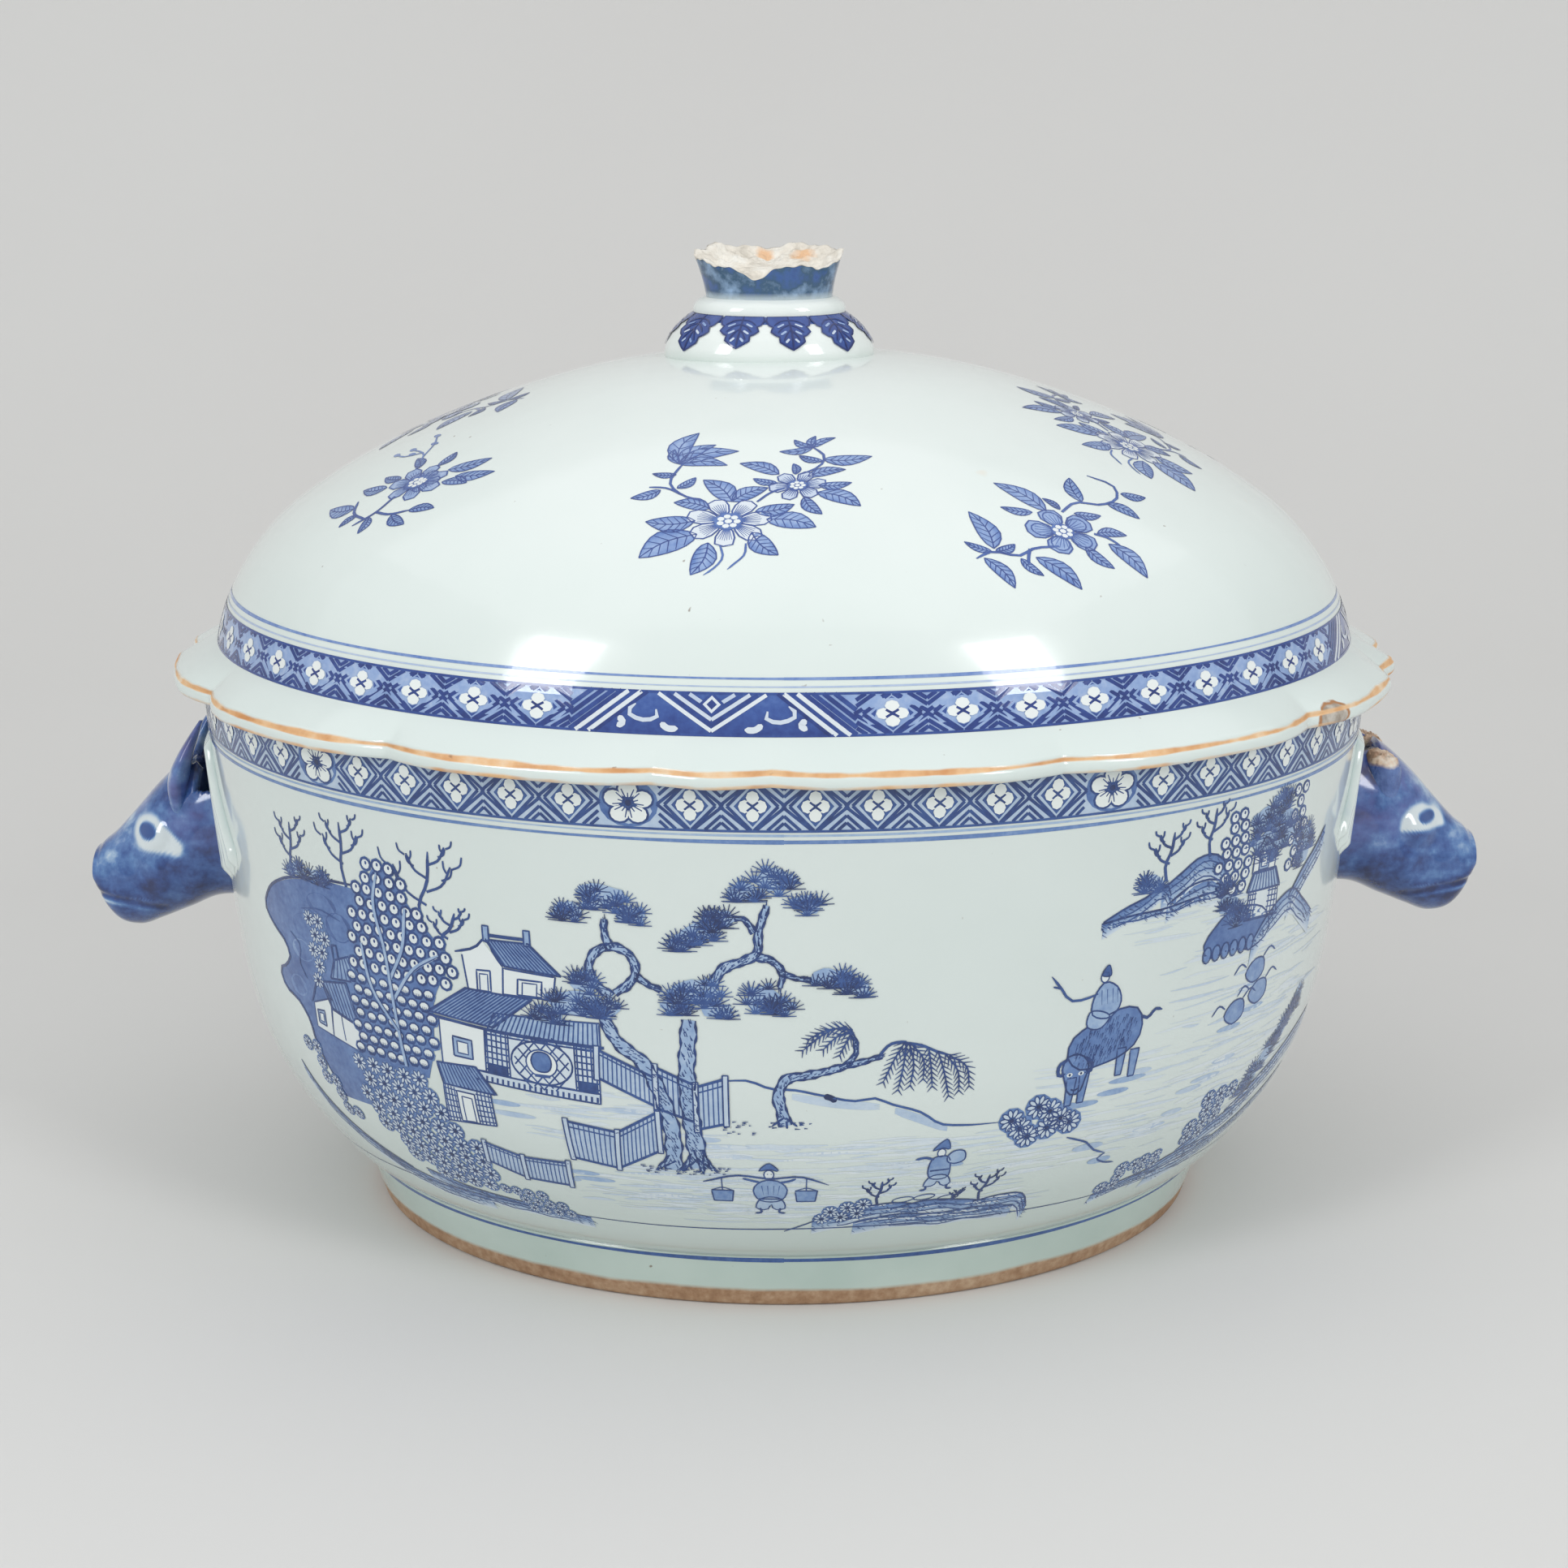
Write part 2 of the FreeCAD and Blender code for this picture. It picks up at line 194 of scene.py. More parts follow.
# %% [markdown]
# A finish is arithmetic on a few varying numbers: noise, height on the pot, how much
# pigment lies there.  A small class wraps one socket so that the sums can be written
# as ordinary Python, and each operator adds the Math node that does it.

# %% Shader arithmetic
class Value:
    """A number that varies over a surface; operators on it build Math nodes."""

    def __init__(self, finish, socket):
        self.finish = finish
        self.socket = socket

    def math(self, operation, *others, flip=False, clamp=False):
        """A Math node on this value and the others, in the other order if flip is set."""
        terms = [self, *others]
        if flip:
            terms.reverse()
        return self.finish.number("ShaderNodeMath", {"operation": operation, "use_clamp": clamp},
                                  dict(enumerate(terms)))

    def __add__(self, other):
        return self.math("ADD", other)

    def __sub__(self, other):
        return self.math("SUBTRACT", other)

    def __rsub__(self, other):
        return self.math("SUBTRACT", other, flip=True)

    def __mul__(self, other):
        return self.math("MULTIPLY", other)

    __radd__ = __add__
    __rmul__ = __mul__

    def rise(self, low, high):
        """0 below low, 1 above high and straight between."""
        return self.finish.number("ShaderNodeMapRange", {"clamp": True},
                                  {"Value": self, "From Min": low, "From Max": high})


class Finish:
    """One material and the nodes that are added to it."""

    def __init__(self, name):
        self.material = bpy.data.materials.new(name)
        self.material.use_nodes = True
        self.tree = self.material.node_tree
        self.shader = next(n for n in self.tree.nodes if n.type == "BSDF_PRINCIPLED")

    def node(self, kind, settings=None, values=None):
        """Adds a node: settings first, then the numbers, colours or links of its sockets."""
        node = self.tree.nodes.new(kind)
        for key, setting in (settings or {}).items():
            if key == "stops":
                for _ in range(len(setting) - 2):
                    node.color_ramp.elements.new(0.5)
                for element, (place, colour) in zip(node.color_ramp.elements, setting):
                    element.position = place
                    element.color = (*colour, 1)
            else:
                setattr(node, key, setting)
        for key, value in (values or {}).items():
            self.put(node.inputs[key], value)
        return node

    def put(self, socket, value):
        """Sets a socket to a number or a colour, or links it."""
        if isinstance(value, Value):
            value = value.socket
        if isinstance(value, bpy.types.NodeSocket):
            self.tree.links.new(value, socket)
        elif socket.type == "RGBA" and len(value) == 3:
            socket.default_value = (*value, 1)
        else:
            socket.default_value = value

    def number(self, kind, settings=None, values=None, output=0):
        """A node whose output is a number."""
        return Value(self, self.node(kind, settings, values).outputs[output])

    def here(self):
        """Where the point is on the piece, in metres."""
        return self.node("ShaderNodeTexCoord").outputs["Object"]

    def height(self):
        """Height above the table, in metres."""
        return self.number("ShaderNodeSeparateXYZ", None, {0: self.here()}, "Z")

    def gap(self, place):
        """Distance from a place, in metres."""
        settings = {"operation": "DISTANCE"}
        return self.number("ShaderNodeVectorMath", settings, {0: self.here(), 1: place}, "Value")

    def mark(self, name):
        """A number kept on the mesh's vertices."""
        return self.number("ShaderNodeAttribute", {"attribute_name": name}, None, "Fac")

    def noise(self, scale, detail=3.0, rough=0.55, stretch=None):
        """Noise from 0 to 1, with so many lumps to the metre."""
        place = self.here()
        if stretch:
            place = self.node("ShaderNodeVectorMath", {"operation": "MULTIPLY"},
                              {0: place, 1: stretch}).outputs[0]
        return self.number("ShaderNodeTexNoise", None,
                           {"Vector": place, "Scale": scale, "Detail": detail, "Roughness": rough}, "Fac")

    def ramp(self, value, stops):
        """A colour picked by a number."""
        return self.node("ShaderNodeValToRGB", {"stops": stops}, {"Fac": value}).outputs["Color"]

    def mix(self, share, under, over):
        """One colour over another by a varying share."""
        node = self.node("ShaderNodeMix", {"data_type": "RGBA"})
        self.put(node.inputs["Factor"], share)
        self.put(node.inputs["A"], under)
        self.put(node.inputs["B"], over)
        return node.outputs["Result"]

    def bump(self, value, depth):
        """A normal from a height of 0 to 1 that stands for so many metres."""
        return self.node("ShaderNodeBump", None, {"Height": value, "Distance": depth,
                                                  "Strength": 1.0}).outputs[0]

    def surface(self, **values):
        """Sets the sockets of the shader; an underscore in a name stands for a space."""
        for key, value in values.items():
            self.put(self.shader.inputs[key.replace("_", " ")], value)
        return self.material


def shade(red, green, blue):
    """A colour given as it looks on a screen, 0 to 255, made linear for the shader."""
    c = np.array([red, green, blue]) / 255
    return tuple(float(v) for v in np.where(c < 0.04045, c / 12.92, ((c + 0.055) / 1.055) ** 2.4))


# %% [markdown]
# Export porcelain is a grey-white body under a glaze with a little iron in it, which
# makes it bluish, and greener where it runs thick.  The surface is glossy but never
# quite flat: it ripples from the mould and has the fine pits that potters call orange
# peel.  A few specks of iron come through brown.

# %% Glaze
GLAZE_GLOSS = 0.16
GLAZE_COAT = 0.5
COAT_GLOSS = 0.06


def glaze_nodes(finish, thin, thick, pool):
    """The glaze's colour and relief: thin to thick by a pooling number, and iron specks."""
    cloud = finish.noise(18, 3.0)
    colour = finish.mix((pool + (cloud - 0.5) * 0.7).rise(0.0, 1.0), thin, thick)
    speck = finish.noise(420, 1.0).rise(0.80, 0.86)
    return finish.mix(speck * 0.75, colour, shade(112, 84, 62))


def glaze_relief(finish):
    """Slow ripples from the mould with a fine orange peel over them."""
    ripple = finish.noise(34, 2.0)
    peel = finish.noise(900, 2.0)
    return finish.bump(ripple + peel * 0.018, 0.00032)


def glazed(finish, colour, **more):
    """The gloss that every glazed surface has, over its own colour."""
    patchy_gloss = finish.noise(60).rise(-0.6, 3.2) * GLAZE_GLOSS * 2.2
    return finish.surface(Base_Color=colour, Roughness=patchy_gloss, Coat_Weight=GLAZE_COAT,
                          Coat_Roughness=COAT_GLOSS, Normal=glaze_relief(finish), **more)


def glaze(name, thin, thick, pool_low, pool_high):
    """Plain glaze that thickens down the pot, from pool_high to pool_low in metres."""
    finish = Finish(name)
    pool = 1 - finish.height().rise(pool_low, pool_high)
    return glazed(finish, glaze_nodes(finish, thin, thick, pool), Specular_IOR_Level=0.55)

# %% [markdown]
# The bowl is one wall: up the outside, over the rounded rim, down the inside and across
# the floor.  The inside line is the outside line moved in by the wall's thickness, as a
# potter's rib would leave it.  The underside sinks slightly towards the middle.

# %% Bowl
WALL = 5 * MM
outside = smooth_line([(r * HALF, z * RIM_TOP) for r, z in BOWL_OUTLINE], 64)
foot_radius = outside[0, 0]


def underside(radius):
    """Height of the bowl's underside, from the box's lowest point to the foot's top."""
    return bowl_low.z + (FOOT_TOP - bowl_low.z) * radius / foot_radius


def half_round(start, end, count):
    """Points on the half circle that leads from start up over to end."""
    middle = (start + end) / 2
    reach = (start - end) / 2
    t = np.linspace(0, np.pi, count)[:, None]
    up = np.array([[-reach[1], reach[0]]])
    return middle + np.cos(t) * reach + np.sin(t) * up


inside = moved_in(outside, WALL)[::-1]
inside = inside[inside[:, 1] > underside(0) + 1.9 * WALL]
floor_height = underside(0) + 1.2 * WALL
floor_line = smooth_line([inside[-1], (0.69 * HALF, floor_height + 2.6 * MM),
                          (0.5 * HALF, floor_height + 0.4 * MM),
                          (0.0, floor_height)], 24)[1:]
rim = half_round(outside[-1], inside[0], 11)[1:-1]
bottom_line = np.stack([np.linspace(0, foot_radius, 14)[:-1],
                        underside(np.linspace(0, foot_radius, 14)[:-1])], 1)
bowl_section = np.vstack([bottom_line, outside, rim, inside, floor_line])
COLUMNS = 360


def spread(line, columns=COLUMNS):
    """A section's radius and height repeated for every angle."""
    return np.repeat(line[:, :1], columns, 1), np.repeat(line[:, 1:], columns, 1)


bowl_radius, bowl_height = spread(bowl_section)
bowl = turned_piece("bowl_glazed", bowl_radius, bowl_height, RATIO)
bowl_finish = glaze("bowl_glaze", shade(212, 222, 219), shade(196, 210, 205), 16 * MM, 60 * MM)
dress(bowl, bowl_finish, "bowl", "tureen")
print("bowl section points:", len(bowl_section))

# %% [markdown]
# The foot ring was turned, luted on and dipped with the bowl, and its lower edge was
# then wiped clean so that it wouldn't stick to the kiln shelf.  That bare edge fired
# brown.  Glaze gathered thick and greenish just above it.  The brown comes and goes a
# little round the ring, so the line between the two is moved by noise.

# %% Foot ring
FOOT_BARE = 5.2 * MM
WORN = 1.8 * MM
foot_in = -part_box("foot_ring")[0].x * 0.9012
foot_edge = foot_radius * 0.96
foot_section = smooth_line([(foot_radius, FOOT_TOP), (foot_edge + 2.2 * MM, FOOT_TOP * 0.55),
                            (foot_edge, WORN)], 14)
foot_section = np.vstack([foot_section, smooth_line([(foot_edge, WORN),
                                                     (foot_edge - WORN * 0.3, WORN * 0.3),
                                                     (foot_edge - WORN, 0)], 5)[1:],
                          smooth_line([(foot_in + WORN, 0), (foot_in + WORN * 0.3, WORN * 0.3),
                                       (foot_in, WORN)], 5),
                          [(foot_in, FOOT_TOP * 0.5), (foot_in, underside(foot_in))]])
foot_r, foot_z = spread(foot_section)
foot = turned_piece("foot_ring_glazed", foot_r, foot_z, RATIO, loop=True)


def foot_finish():
    """Greenish glaze above, bare brown body below an uneven line."""
    finish = Finish("foot_glaze_and_bare_edge")
    height = finish.height()
    wander = (finish.noise(26, 3.0) - 0.5) * 0.0030
    bare = 1 - (height + wander).rise(FOOT_BARE - 0.0009, FOOT_BARE + 0.0003)
    glaze_colour = glaze_nodes(finish, shade(197, 212, 205), shade(176, 196, 188), finish.noise(40))
    grain = finish.noise(480, 4.0)
    brown = finish.ramp(grain * 0.6 + finish.noise(30) * 0.5,
                        [(0.25, shade(120, 88, 62)), (0.5, shade(160, 126, 96)),
                         (0.8, shade(196, 170, 142))])
    relief = finish.bump(grain * bare * 0.5 + finish.noise(34) * 0.6, 0.0003)
    return finish.surface(Base_Color=finish.mix(bare, glaze_colour, brown),
                          Roughness=bare * 0.5 + GLAZE_GLOSS, Coat_Weight=(1 - bare) * GLAZE_COAT,
                          Coat_Roughness=COAT_GLOSS, Normal=relief)


dress(foot, foot_finish(), "foot_ring", "tureen")

# %% [markdown]
# The cover is one wall too, but its brim slopes down and out to a cut edge with lobes.
# In plan the edge has a small point at each quarter, a hollow on each side of it, and
# sharp notches a third of the way between: eight notches and four points.  The whole
# pattern was cut a little askew, turned six degrees from the bowl's long axis.

# %% Cover
LOBE_TURN = math.radians(6.0)
BRIM_HALF = COVER_HALF * 0.998
BRIM_EDGE_TOP = COVER_TOP * 0.6504
BRIM_EDGE_LOW = cover_low.z + 0.8 * MM
COVER_WALL = 4.4 * MM


def brim_reach(angle):
    """Half length of the brim's edge at an angle from the front, as if it were round."""
    quarter = np.degrees(angle + LOBE_TURN) % 90.0
    off_axis = np.minimum(quarter, 90.0 - quarter)
    notch = np.clip(1 - np.abs(off_axis - 30) / 8, 0, 1) ** 1.6
    hollow = np.clip(1 - np.abs(off_axis - 5.0) / 4.6, 0, 1) ** 1.2
    point = np.clip(1 - off_axis / 3, 0, 1)
    return BRIM_HALF - 4.4 * MM * notch - 3.4 * MM * hollow + 0.3 * MM * point


COVER_COLUMNS = 720
cover_angle = np.linspace(0, 2 * np.pi, COVER_COLUMNS, endpoint=False)
dome = smooth_line([(r * COVER_HALF, z * COVER_TOP) for r, z in DOME_OUTLINE], 46)
dome_inside = moved_in(dome, -COVER_WALL)[::-1]
dome_inside = np.vstack([dome_inside[:-1], [(0.0, dome[0, 1] - COVER_WALL)]])
dome_foot = dome[-1]
edge_line = np.array([(0.0, 0.0), (0.06, 0.055), (0.2, 0.19), (0.4, 0.39), (0.6, 0.59), (0.8, 0.80),
                      (0.93, 0.925)])
EDGE_ROUND = 0.9 * MM
reach = brim_reach(cover_angle)[None, :]
top_r = dome_foot[0] + edge_line[1:, :1] * (reach - dome_foot[0])
top_z = dome_foot[1] + edge_line[1:, 1:] * (BRIM_EDGE_TOP - dome_foot[1]) + 0 * reach
turn = np.linspace(np.pi / 2, -np.pi / 2, 7)[:, None]
edge_mid = (BRIM_EDGE_TOP + BRIM_EDGE_LOW) / 2
edge_high = (BRIM_EDGE_TOP - BRIM_EDGE_LOW) / 2
edge_r = reach - EDGE_ROUND + EDGE_ROUND * np.cos(turn)
edge_z = edge_mid + edge_high * np.sin(turn) * np.ones_like(reach)
seat = np.array([0.9046 * COVER_HALF, 0.665 * COVER_TOP])
under_share = np.linspace(0, 1, 7)[1:, None]
under_r = (reach - EDGE_ROUND) + under_share * (seat[0] - reach + EDGE_ROUND)
under_z = BRIM_EDGE_LOW + under_share * (seat[1] - BRIM_EDGE_LOW) + 0 * reach
dome_r, dome_z = spread(dome, COVER_COLUMNS)
in_r, in_z = spread(dome_inside[dome_inside[:, 1] > seat[1] + 1 * MM], COVER_COLUMNS)
cover_r = np.vstack([dome_r, top_r, edge_r, under_r, in_r])
cover_z = np.vstack([dome_z, top_z, edge_z, under_z, in_z])
rows_to_edge = len(dome_r) + len(top_r)
bare = np.zeros_like(cover_r)
for row, share in ((-1, 0.8), (0, 1.0), (1, 0.75), (4, 0.55), (5, 0.62), (6, 0.5)):
    bare[rows_to_edge + row] = share
cover = turned_piece("cover_glazed", cover_r, cover_z, RATIO, marks={"bare": bare})
print("brim reach from", reach.min(), "to", reach.max(), "rows", len(cover_r))

# %% [markdown]
# The glaze crawled off the brim's edge and left a bare line that burnt orange.  How wide
# the line is changes as it goes round, and in places it is nibbled by small chips.

# %% Cover finish
COVER_THIN = shade(229, 237, 234)
COVER_THICK = shade(211, 223, 219)


def on_cover(degrees, reach, height):
    """A place on the cover: an angle to the right of the front, a half length and a height."""
    a = math.radians(degrees)
    return reach * math.sin(a), -RATIO * reach * math.cos(a), height


REPAIR = on_cover(57.0, 0.1665, 0.1515)
STAIN = on_cover(-43.8, 0.1526, 0.1844)


def cover_finish():
    """Glaze over the dome with the bare orange line on the brim's edge."""
    finish = Finish("cover_glaze_and_bare_edge")
    pool = 1 - finish.height().rise(BRIM_EDGE_LOW, COVER_TOP)
    colour = glaze_nodes(finish, COVER_THIN, COVER_THICK, pool * 0.8)
    patchy = finish.noise(45, 3.0)
    line = (finish.mark("bare") + (patchy - 0.5) * 1.7).rise(0.42, 0.75)
    burnt = finish.ramp(finish.noise(120, 4.0), [(0.3, shade(206, 144, 88)), (0.55, shade(229, 186, 138)),
                                                 (0.75, shade(236, 214, 184))])
    dark_chip = finish.noise(150, 2.0).rise(0.71, 0.75) * finish.mark("bare")
    burnt = finish.mix(dark_chip * 0.8, burnt, shade(128, 82, 50))
    stain = 1 - (finish.gap(STAIN) + (patchy - 0.5) * 0.006).rise(0.0026, 0.0058)
    colour = finish.mix(stain * 0.7, colour, shade(243, 196, 140))
    ragged = finish.gap(REPAIR) + (finish.noise(110, 3.0) - 0.5) * 0.007
    filler = finish.ramp(finish.noise(240, 3.0), [(0.35, shade(150, 138, 124)),
                                                  (0.6, shade(196, 190, 180))])
    colour = finish.mix(1 - ragged.rise(0.0062, 0.0068), colour, shade(170, 120, 76))
    colour = finish.mix(1 - ragged.rise(0.0050, 0.0056), colour, filler)
    return finish.surface(Base_Color=finish.mix(line, colour, burnt), Roughness=line * 0.35 + GLAZE_GLOSS,
                          Coat_Weight=(1 - line) * GLAZE_COAT, Coat_Roughness=COAT_GLOSS,
                          Normal=glaze_relief(finish))


dress(cover, cover_finish(), "lid_dome", "cover")


def bare_finish(name, dark, light):
    """Unglazed fired body: dull, grainy and stained in patches."""
    finish = Finish(name)
    grain = finish.noise(650, 4.0)
    colour = finish.ramp(finish.noise(70, 4.0) * 0.7 + grain * 0.3, [(0.3, dark), (0.7, light)])
    return finish.surface(Base_Color=colour, Roughness=grain * 0.2 + 0.55,
                          Normal=finish.bump(grain, 0.0002))


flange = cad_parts["lid_flange"]
flange.material_slots[0].material = bare_finish("bare_flange", shade(206, 188, 164), shade(232, 226, 214))

# %% [markdown]
# The decoration is cobalt painted on the raw pot before glazing.  To paint here is to lay
# very thin shapes on the surface, because geometry keeps a brush line crisp at any
# distance.  A skin unrolls the outside of a turned piece: u is millimetres round it from
# the middle of the front, and v is millimetres along its outline.  Strokes are drawn on
# that flat sheet and wrapped on to the pot in one go.

# %% Skins
class Skin:
    """The outside of a turned piece as a flat sheet of (u, v) in millimetres."""

    def __init__(self, line, girth, ratio=RATIO, shift=0.0):
        """line runs up or down the outline; u is measured on the oval of that half length."""
        self.line = line
        self.ratio = ratio
        self.shift = shift
        self.run = np.concatenate([[0.0], np.cumsum(np.linalg.norm(np.diff(line, axis=0), axis=1))]) / MM
        self.slope = np.gradient(line, self.run, axis=0)
        self.girth = girth
        self.angle = np.linspace(-np.pi, np.pi, 2881)
        step = girth * np.hypot(np.cos(self.angle),
                                ratio * np.sin(self.angle)) * (self.angle[1] - self.angle[0])
        walk = np.concatenate([[0.0], np.cumsum((step[1:] + step[:-1]) / 2)])
        self.walk = walk - walk[-1] / 2
        self.around = walk[-1]
        self.side = 1.0 if line[-1, 1] > line[0, 1] else -1.0

    def wrap(self, uv, lift):
        """Points at (u, v), raised square to the surface by lift millimetres."""
        u = (uv[:, 0] + self.around / 2) % self.around - self.around / 2
        a = np.interp(u, self.walk, self.angle)
        r, z = (np.interp(uv[:, 1], self.run, self.line[:, c]) for c in (0, 1))
        dr, dz = (np.interp(uv[:, 1], self.run, self.slope[:, c]) for c in (0, 1))
        sa, ca = np.sin(a), np.cos(a)
        out = np.stack([self.ratio * dz * sa, -dz * ca, -self.ratio * dr], -1) * self.side
        out /= np.linalg.norm(out, axis=1)[:, None]
        return (np.stack([r * sa + self.shift, -self.ratio * r * ca, z], -1)
                + out * (lift * MM)[:, None], out)

    def reach(self, v):
        """Half length of the piece at v, in millimetres."""
        return np.interp(v, self.run, self.line[:, 0]) / MM

    def level(self, height):
        """The v at a height in millimetres above the table."""
        order = np.argsort(self.line[:, 1])
        return float(np.interp(height * MM, self.line[order, 1], self.run[order]))


bowl_skin = Skin(outside, 155.0)
dome_skin = Skin(dome, 150.0)
foot_skin = Skin(smooth_line(foot_section[:14], 20), 120.0)
print(f"bowl is {bowl_skin.around:.0f} mm round and {bowl_skin.run[-1]:.0f} mm up its side")

# %% [markdown]
# Pigment lies in layers: a pale wash first, then middle tones, then lines and accents.
# Each layer is lifted a few hundredths of a millimetre above the last, so that a line
# laid later covers a wash laid earlier.  Every point also carries a tone, from 0 for
# bare glaze to 1 for the darkest cobalt, and one finish turns tone into colour.

# %% Brushes
WASH, MIDDLE, INK, ACCENT, WHITE = 0.05, 0.08, 0.11, 0.14, 0.17


def resample(points, step, smooth=True):
    """A line through the points with a point about every step millimetres."""
    p = np.array(points, float)
    length = np.linalg.norm(np.diff(p, axis=0), axis=1).sum()
    count = max(3, int(np.ceil(length / step)) + 1)
    if smooth and len(p) > 2:
        return smooth_line(p, count)
    run = np.concatenate([[0.0], np.cumsum(np.linalg.norm(np.diff(p, axis=0), axis=1))])
    want = np.union1d(np.linspace(0, run[-1], count), run)
    return np.stack([np.interp(want, run, p[:, 0]), np.interp(want, run, p[:, 1])], -1)


def beside(line):
    """Unit vectors to the left of a line's direction."""
    along = np.gradient(line, axis=0)
    along /= np.maximum(np.linalg.norm(along, axis=1), 1e-9)[:, None]
    return np.stack([-along[:, 1], along[:, 0]], -1)


def ellipses(centres, wide, high, grow, sides, turn):
    """Outlines x = wide cos(a), y = high sin(a), grown, turned and moved to their centres."""
    centres = np.asarray(centres, float).reshape(-1, 2)
    a = np.linspace(0, 2 * np.pi, sides, endpoint=False)
    wide, high, turn = (np.broadcast_to(np.asarray(w, float), (len(centres),))[:, None]
                        for w in (wide, high, turn))
    x, y = (wide + grow) * np.cos(a), (high + grow) * np.sin(a)
    ring = np.stack([x * np.cos(turn) - y * np.sin(turn), x * np.sin(turn) + y * np.cos(turn)], -1)
    return centres[:, None] + ring


class Painting:
    """Shapes laid on one skin, gathered until they are fired into one piece."""

    def __init__(self, name, skin):
        self.name = name
        self.skin = skin
        self.points, self.lifts, self.tones, self.faces = [], [], [], []
        self.count = 0
        self.base = 0.0
        self.origin = 0, 0

    def placed(self, sign, u, v):
        """Draws one sign with its own zero at (u, v)."""
        home = self.origin
        self.origin = home[0] + u, home[1] + v
        sign(self)
        self.origin = home

    def add(self, points, faces, tone, lift):
        """Keeps points and the faces between them; base and origin move what is drawn."""
        points = np.asarray(points, float).reshape(-1, 2) + self.origin
        self.points.append(points)
        self.lifts.append(np.broadcast_to(np.asarray(lift, float).ravel() + self.base,
                                          (len(points),)).copy())
        self.tones.append(np.broadcast_to(np.asarray(tone, float).ravel(), (len(points),)).copy())
        self.faces.append(np.asarray(faces) + self.count)
        self.count += len(points)

    def sheet(self, grid, tone, lift=WASH, loop=False):
        """A grid of points of shape (rows, columns, 2)."""
        rows, columns = grid.shape[:2]
        self.add(grid, grid_quads(rows, columns, wrap_columns=loop), tone, lift)

    def stroke(self, points, width, tone, lift=INK, start=0.55, end=0.3, smooth=True, step=None):
        """A brush stroke: it swells in the middle and thins to its start and end."""
        length = np.linalg.norm(np.diff(np.array(points, float), axis=0), axis=1).sum()
        line = resample(points, step or float(np.clip(length / 7, 0.35, 2.6)), smooth)
        t = np.linspace(0, 1, len(line))
        swell = np.minimum(1, np.minimum(start + t * 5, end + (1 - t) * 5))
        half = (width / 2 * swell)[:, None] * beside(line)
        self.sheet(np.stack([line - half, line + half], 1), tone, lift)

    def ruled(self, points, width, tone, lift=INK):
        """A stroke with corners and no taper, as for beams and fences."""
        self.stroke(points, width, tone, lift, 1.0, 1.0, smooth=False)

    def hairs(self, start, end, width, tone, lift=INK, tip=0.25):
        """Many short straight strokes at once, each one face that narrows to its tip."""
        start, end = (np.asarray(p, float).reshape(-1, 2) for p in (start, end))
        along = end - start
        side = (np.stack([-along[:, 1], along[:, 0]], -1)
                / np.maximum(np.linalg.norm(along, axis=1), 1e-9)[:, None])
        side *= width / 2
        corners = np.stack([start - side, end - side * tip, end + side * tip, start + side], 1)
        self.add(corners, np.arange(4 * len(start)).reshape(-1, 4), tone, lift)

    def blots(self, centres, wide, high, tone, lift=MIDDLE, sides=9, turn=0.0):
        """Many ellipses at once, each one face with so many sides."""
        outline = ellipses(centres, wide, high, 0.0, sides, turn)
        self.add(outline, np.arange(sides * len(outline)).reshape(-1, sides), tone, lift)

    def rings(self, centres, wide, high, width, tone, lift=INK, sides=10, turn=0.0):
        """Many outlined ellipses at once."""
        points = np.stack([ellipses(centres, wide, high, grow, sides, turn)
                           for grow in (-width / 2, width / 2)], 1)
        faces = (np.arange(len(points))[:, None, None] * 2 * sides + grid_quads(2, sides)).reshape(-1, 4)
        self.add(points, faces, tone, lift)

    def patch(self, outline, tone, lift=MIDDLE, centre=None, smooth=True, edge=None, width=0.5):
        """A filled shape: rings of points shrink from its outline to its middle."""
        p = np.array(outline, float)
        size = np.ptp(p, axis=0).max()
        step = float(np.clip(size / 7, 0.4, 2.6))
        if smooth:
            length = np.linalg.norm(np.diff(np.vstack([p, p[:1]]), axis=0), axis=1).sum()
            line = smooth_line(p, max(8, int(length / step)), closed=True)[:-1]
        else:
            line = resample(np.vstack([p, p[:1]]), step, smooth=False)[:-1]
        middle = line.mean(0) if centre is None else np.array(centre, float)
        shrink = np.linspace(1, 0, int(np.clip(size / 5, 1, 12)) + 2)[:-1]
        grid = middle + shrink[:, None, None] * (line - middle)
        rows, columns = grid.shape[:2]
        last = (rows - 1) * columns
        self.sheet(grid, tone, lift, loop=True)
        cap = np.stack([last + np.arange(columns), last + np.roll(np.arange(columns), -1),
                        np.full(columns, rows * columns)], -1) - rows * columns
        self.add(middle[None], cap, np.asarray(tone, float).ravel()[:1], lift)
        if edge is not None:
            loop = np.vstack([line, line[:1]])
            half = width / 2 * beside(loop)
            half[-1] = half[0]
            self.sheet(np.stack([loop - half, loop + half], 1), edge, lift + 0.03)

    def wash(self, low, high, tone_low, tone_high, lift=WASH):
        """Colour between two lines, from one tone to the other."""
        low, high = np.array(low, float), np.array(high, float)
        length = np.linalg.norm(np.diff(low, axis=0), axis=1).sum()
        count = max(4, int(length / 2.6))
        a, b = smooth_line(low, count), smooth_line(high, count)
        rows = max(2, int(np.linalg.norm(b - a, axis=1).max() / 2.6) + 1)
        t = np.linspace(0, 1, rows)[:, None, None]
        tone = tone_low + (tone_high - tone_low) * np.repeat(t[:, 0], count, 1)
        self.sheet(a + t * (b - a), tone, lift)

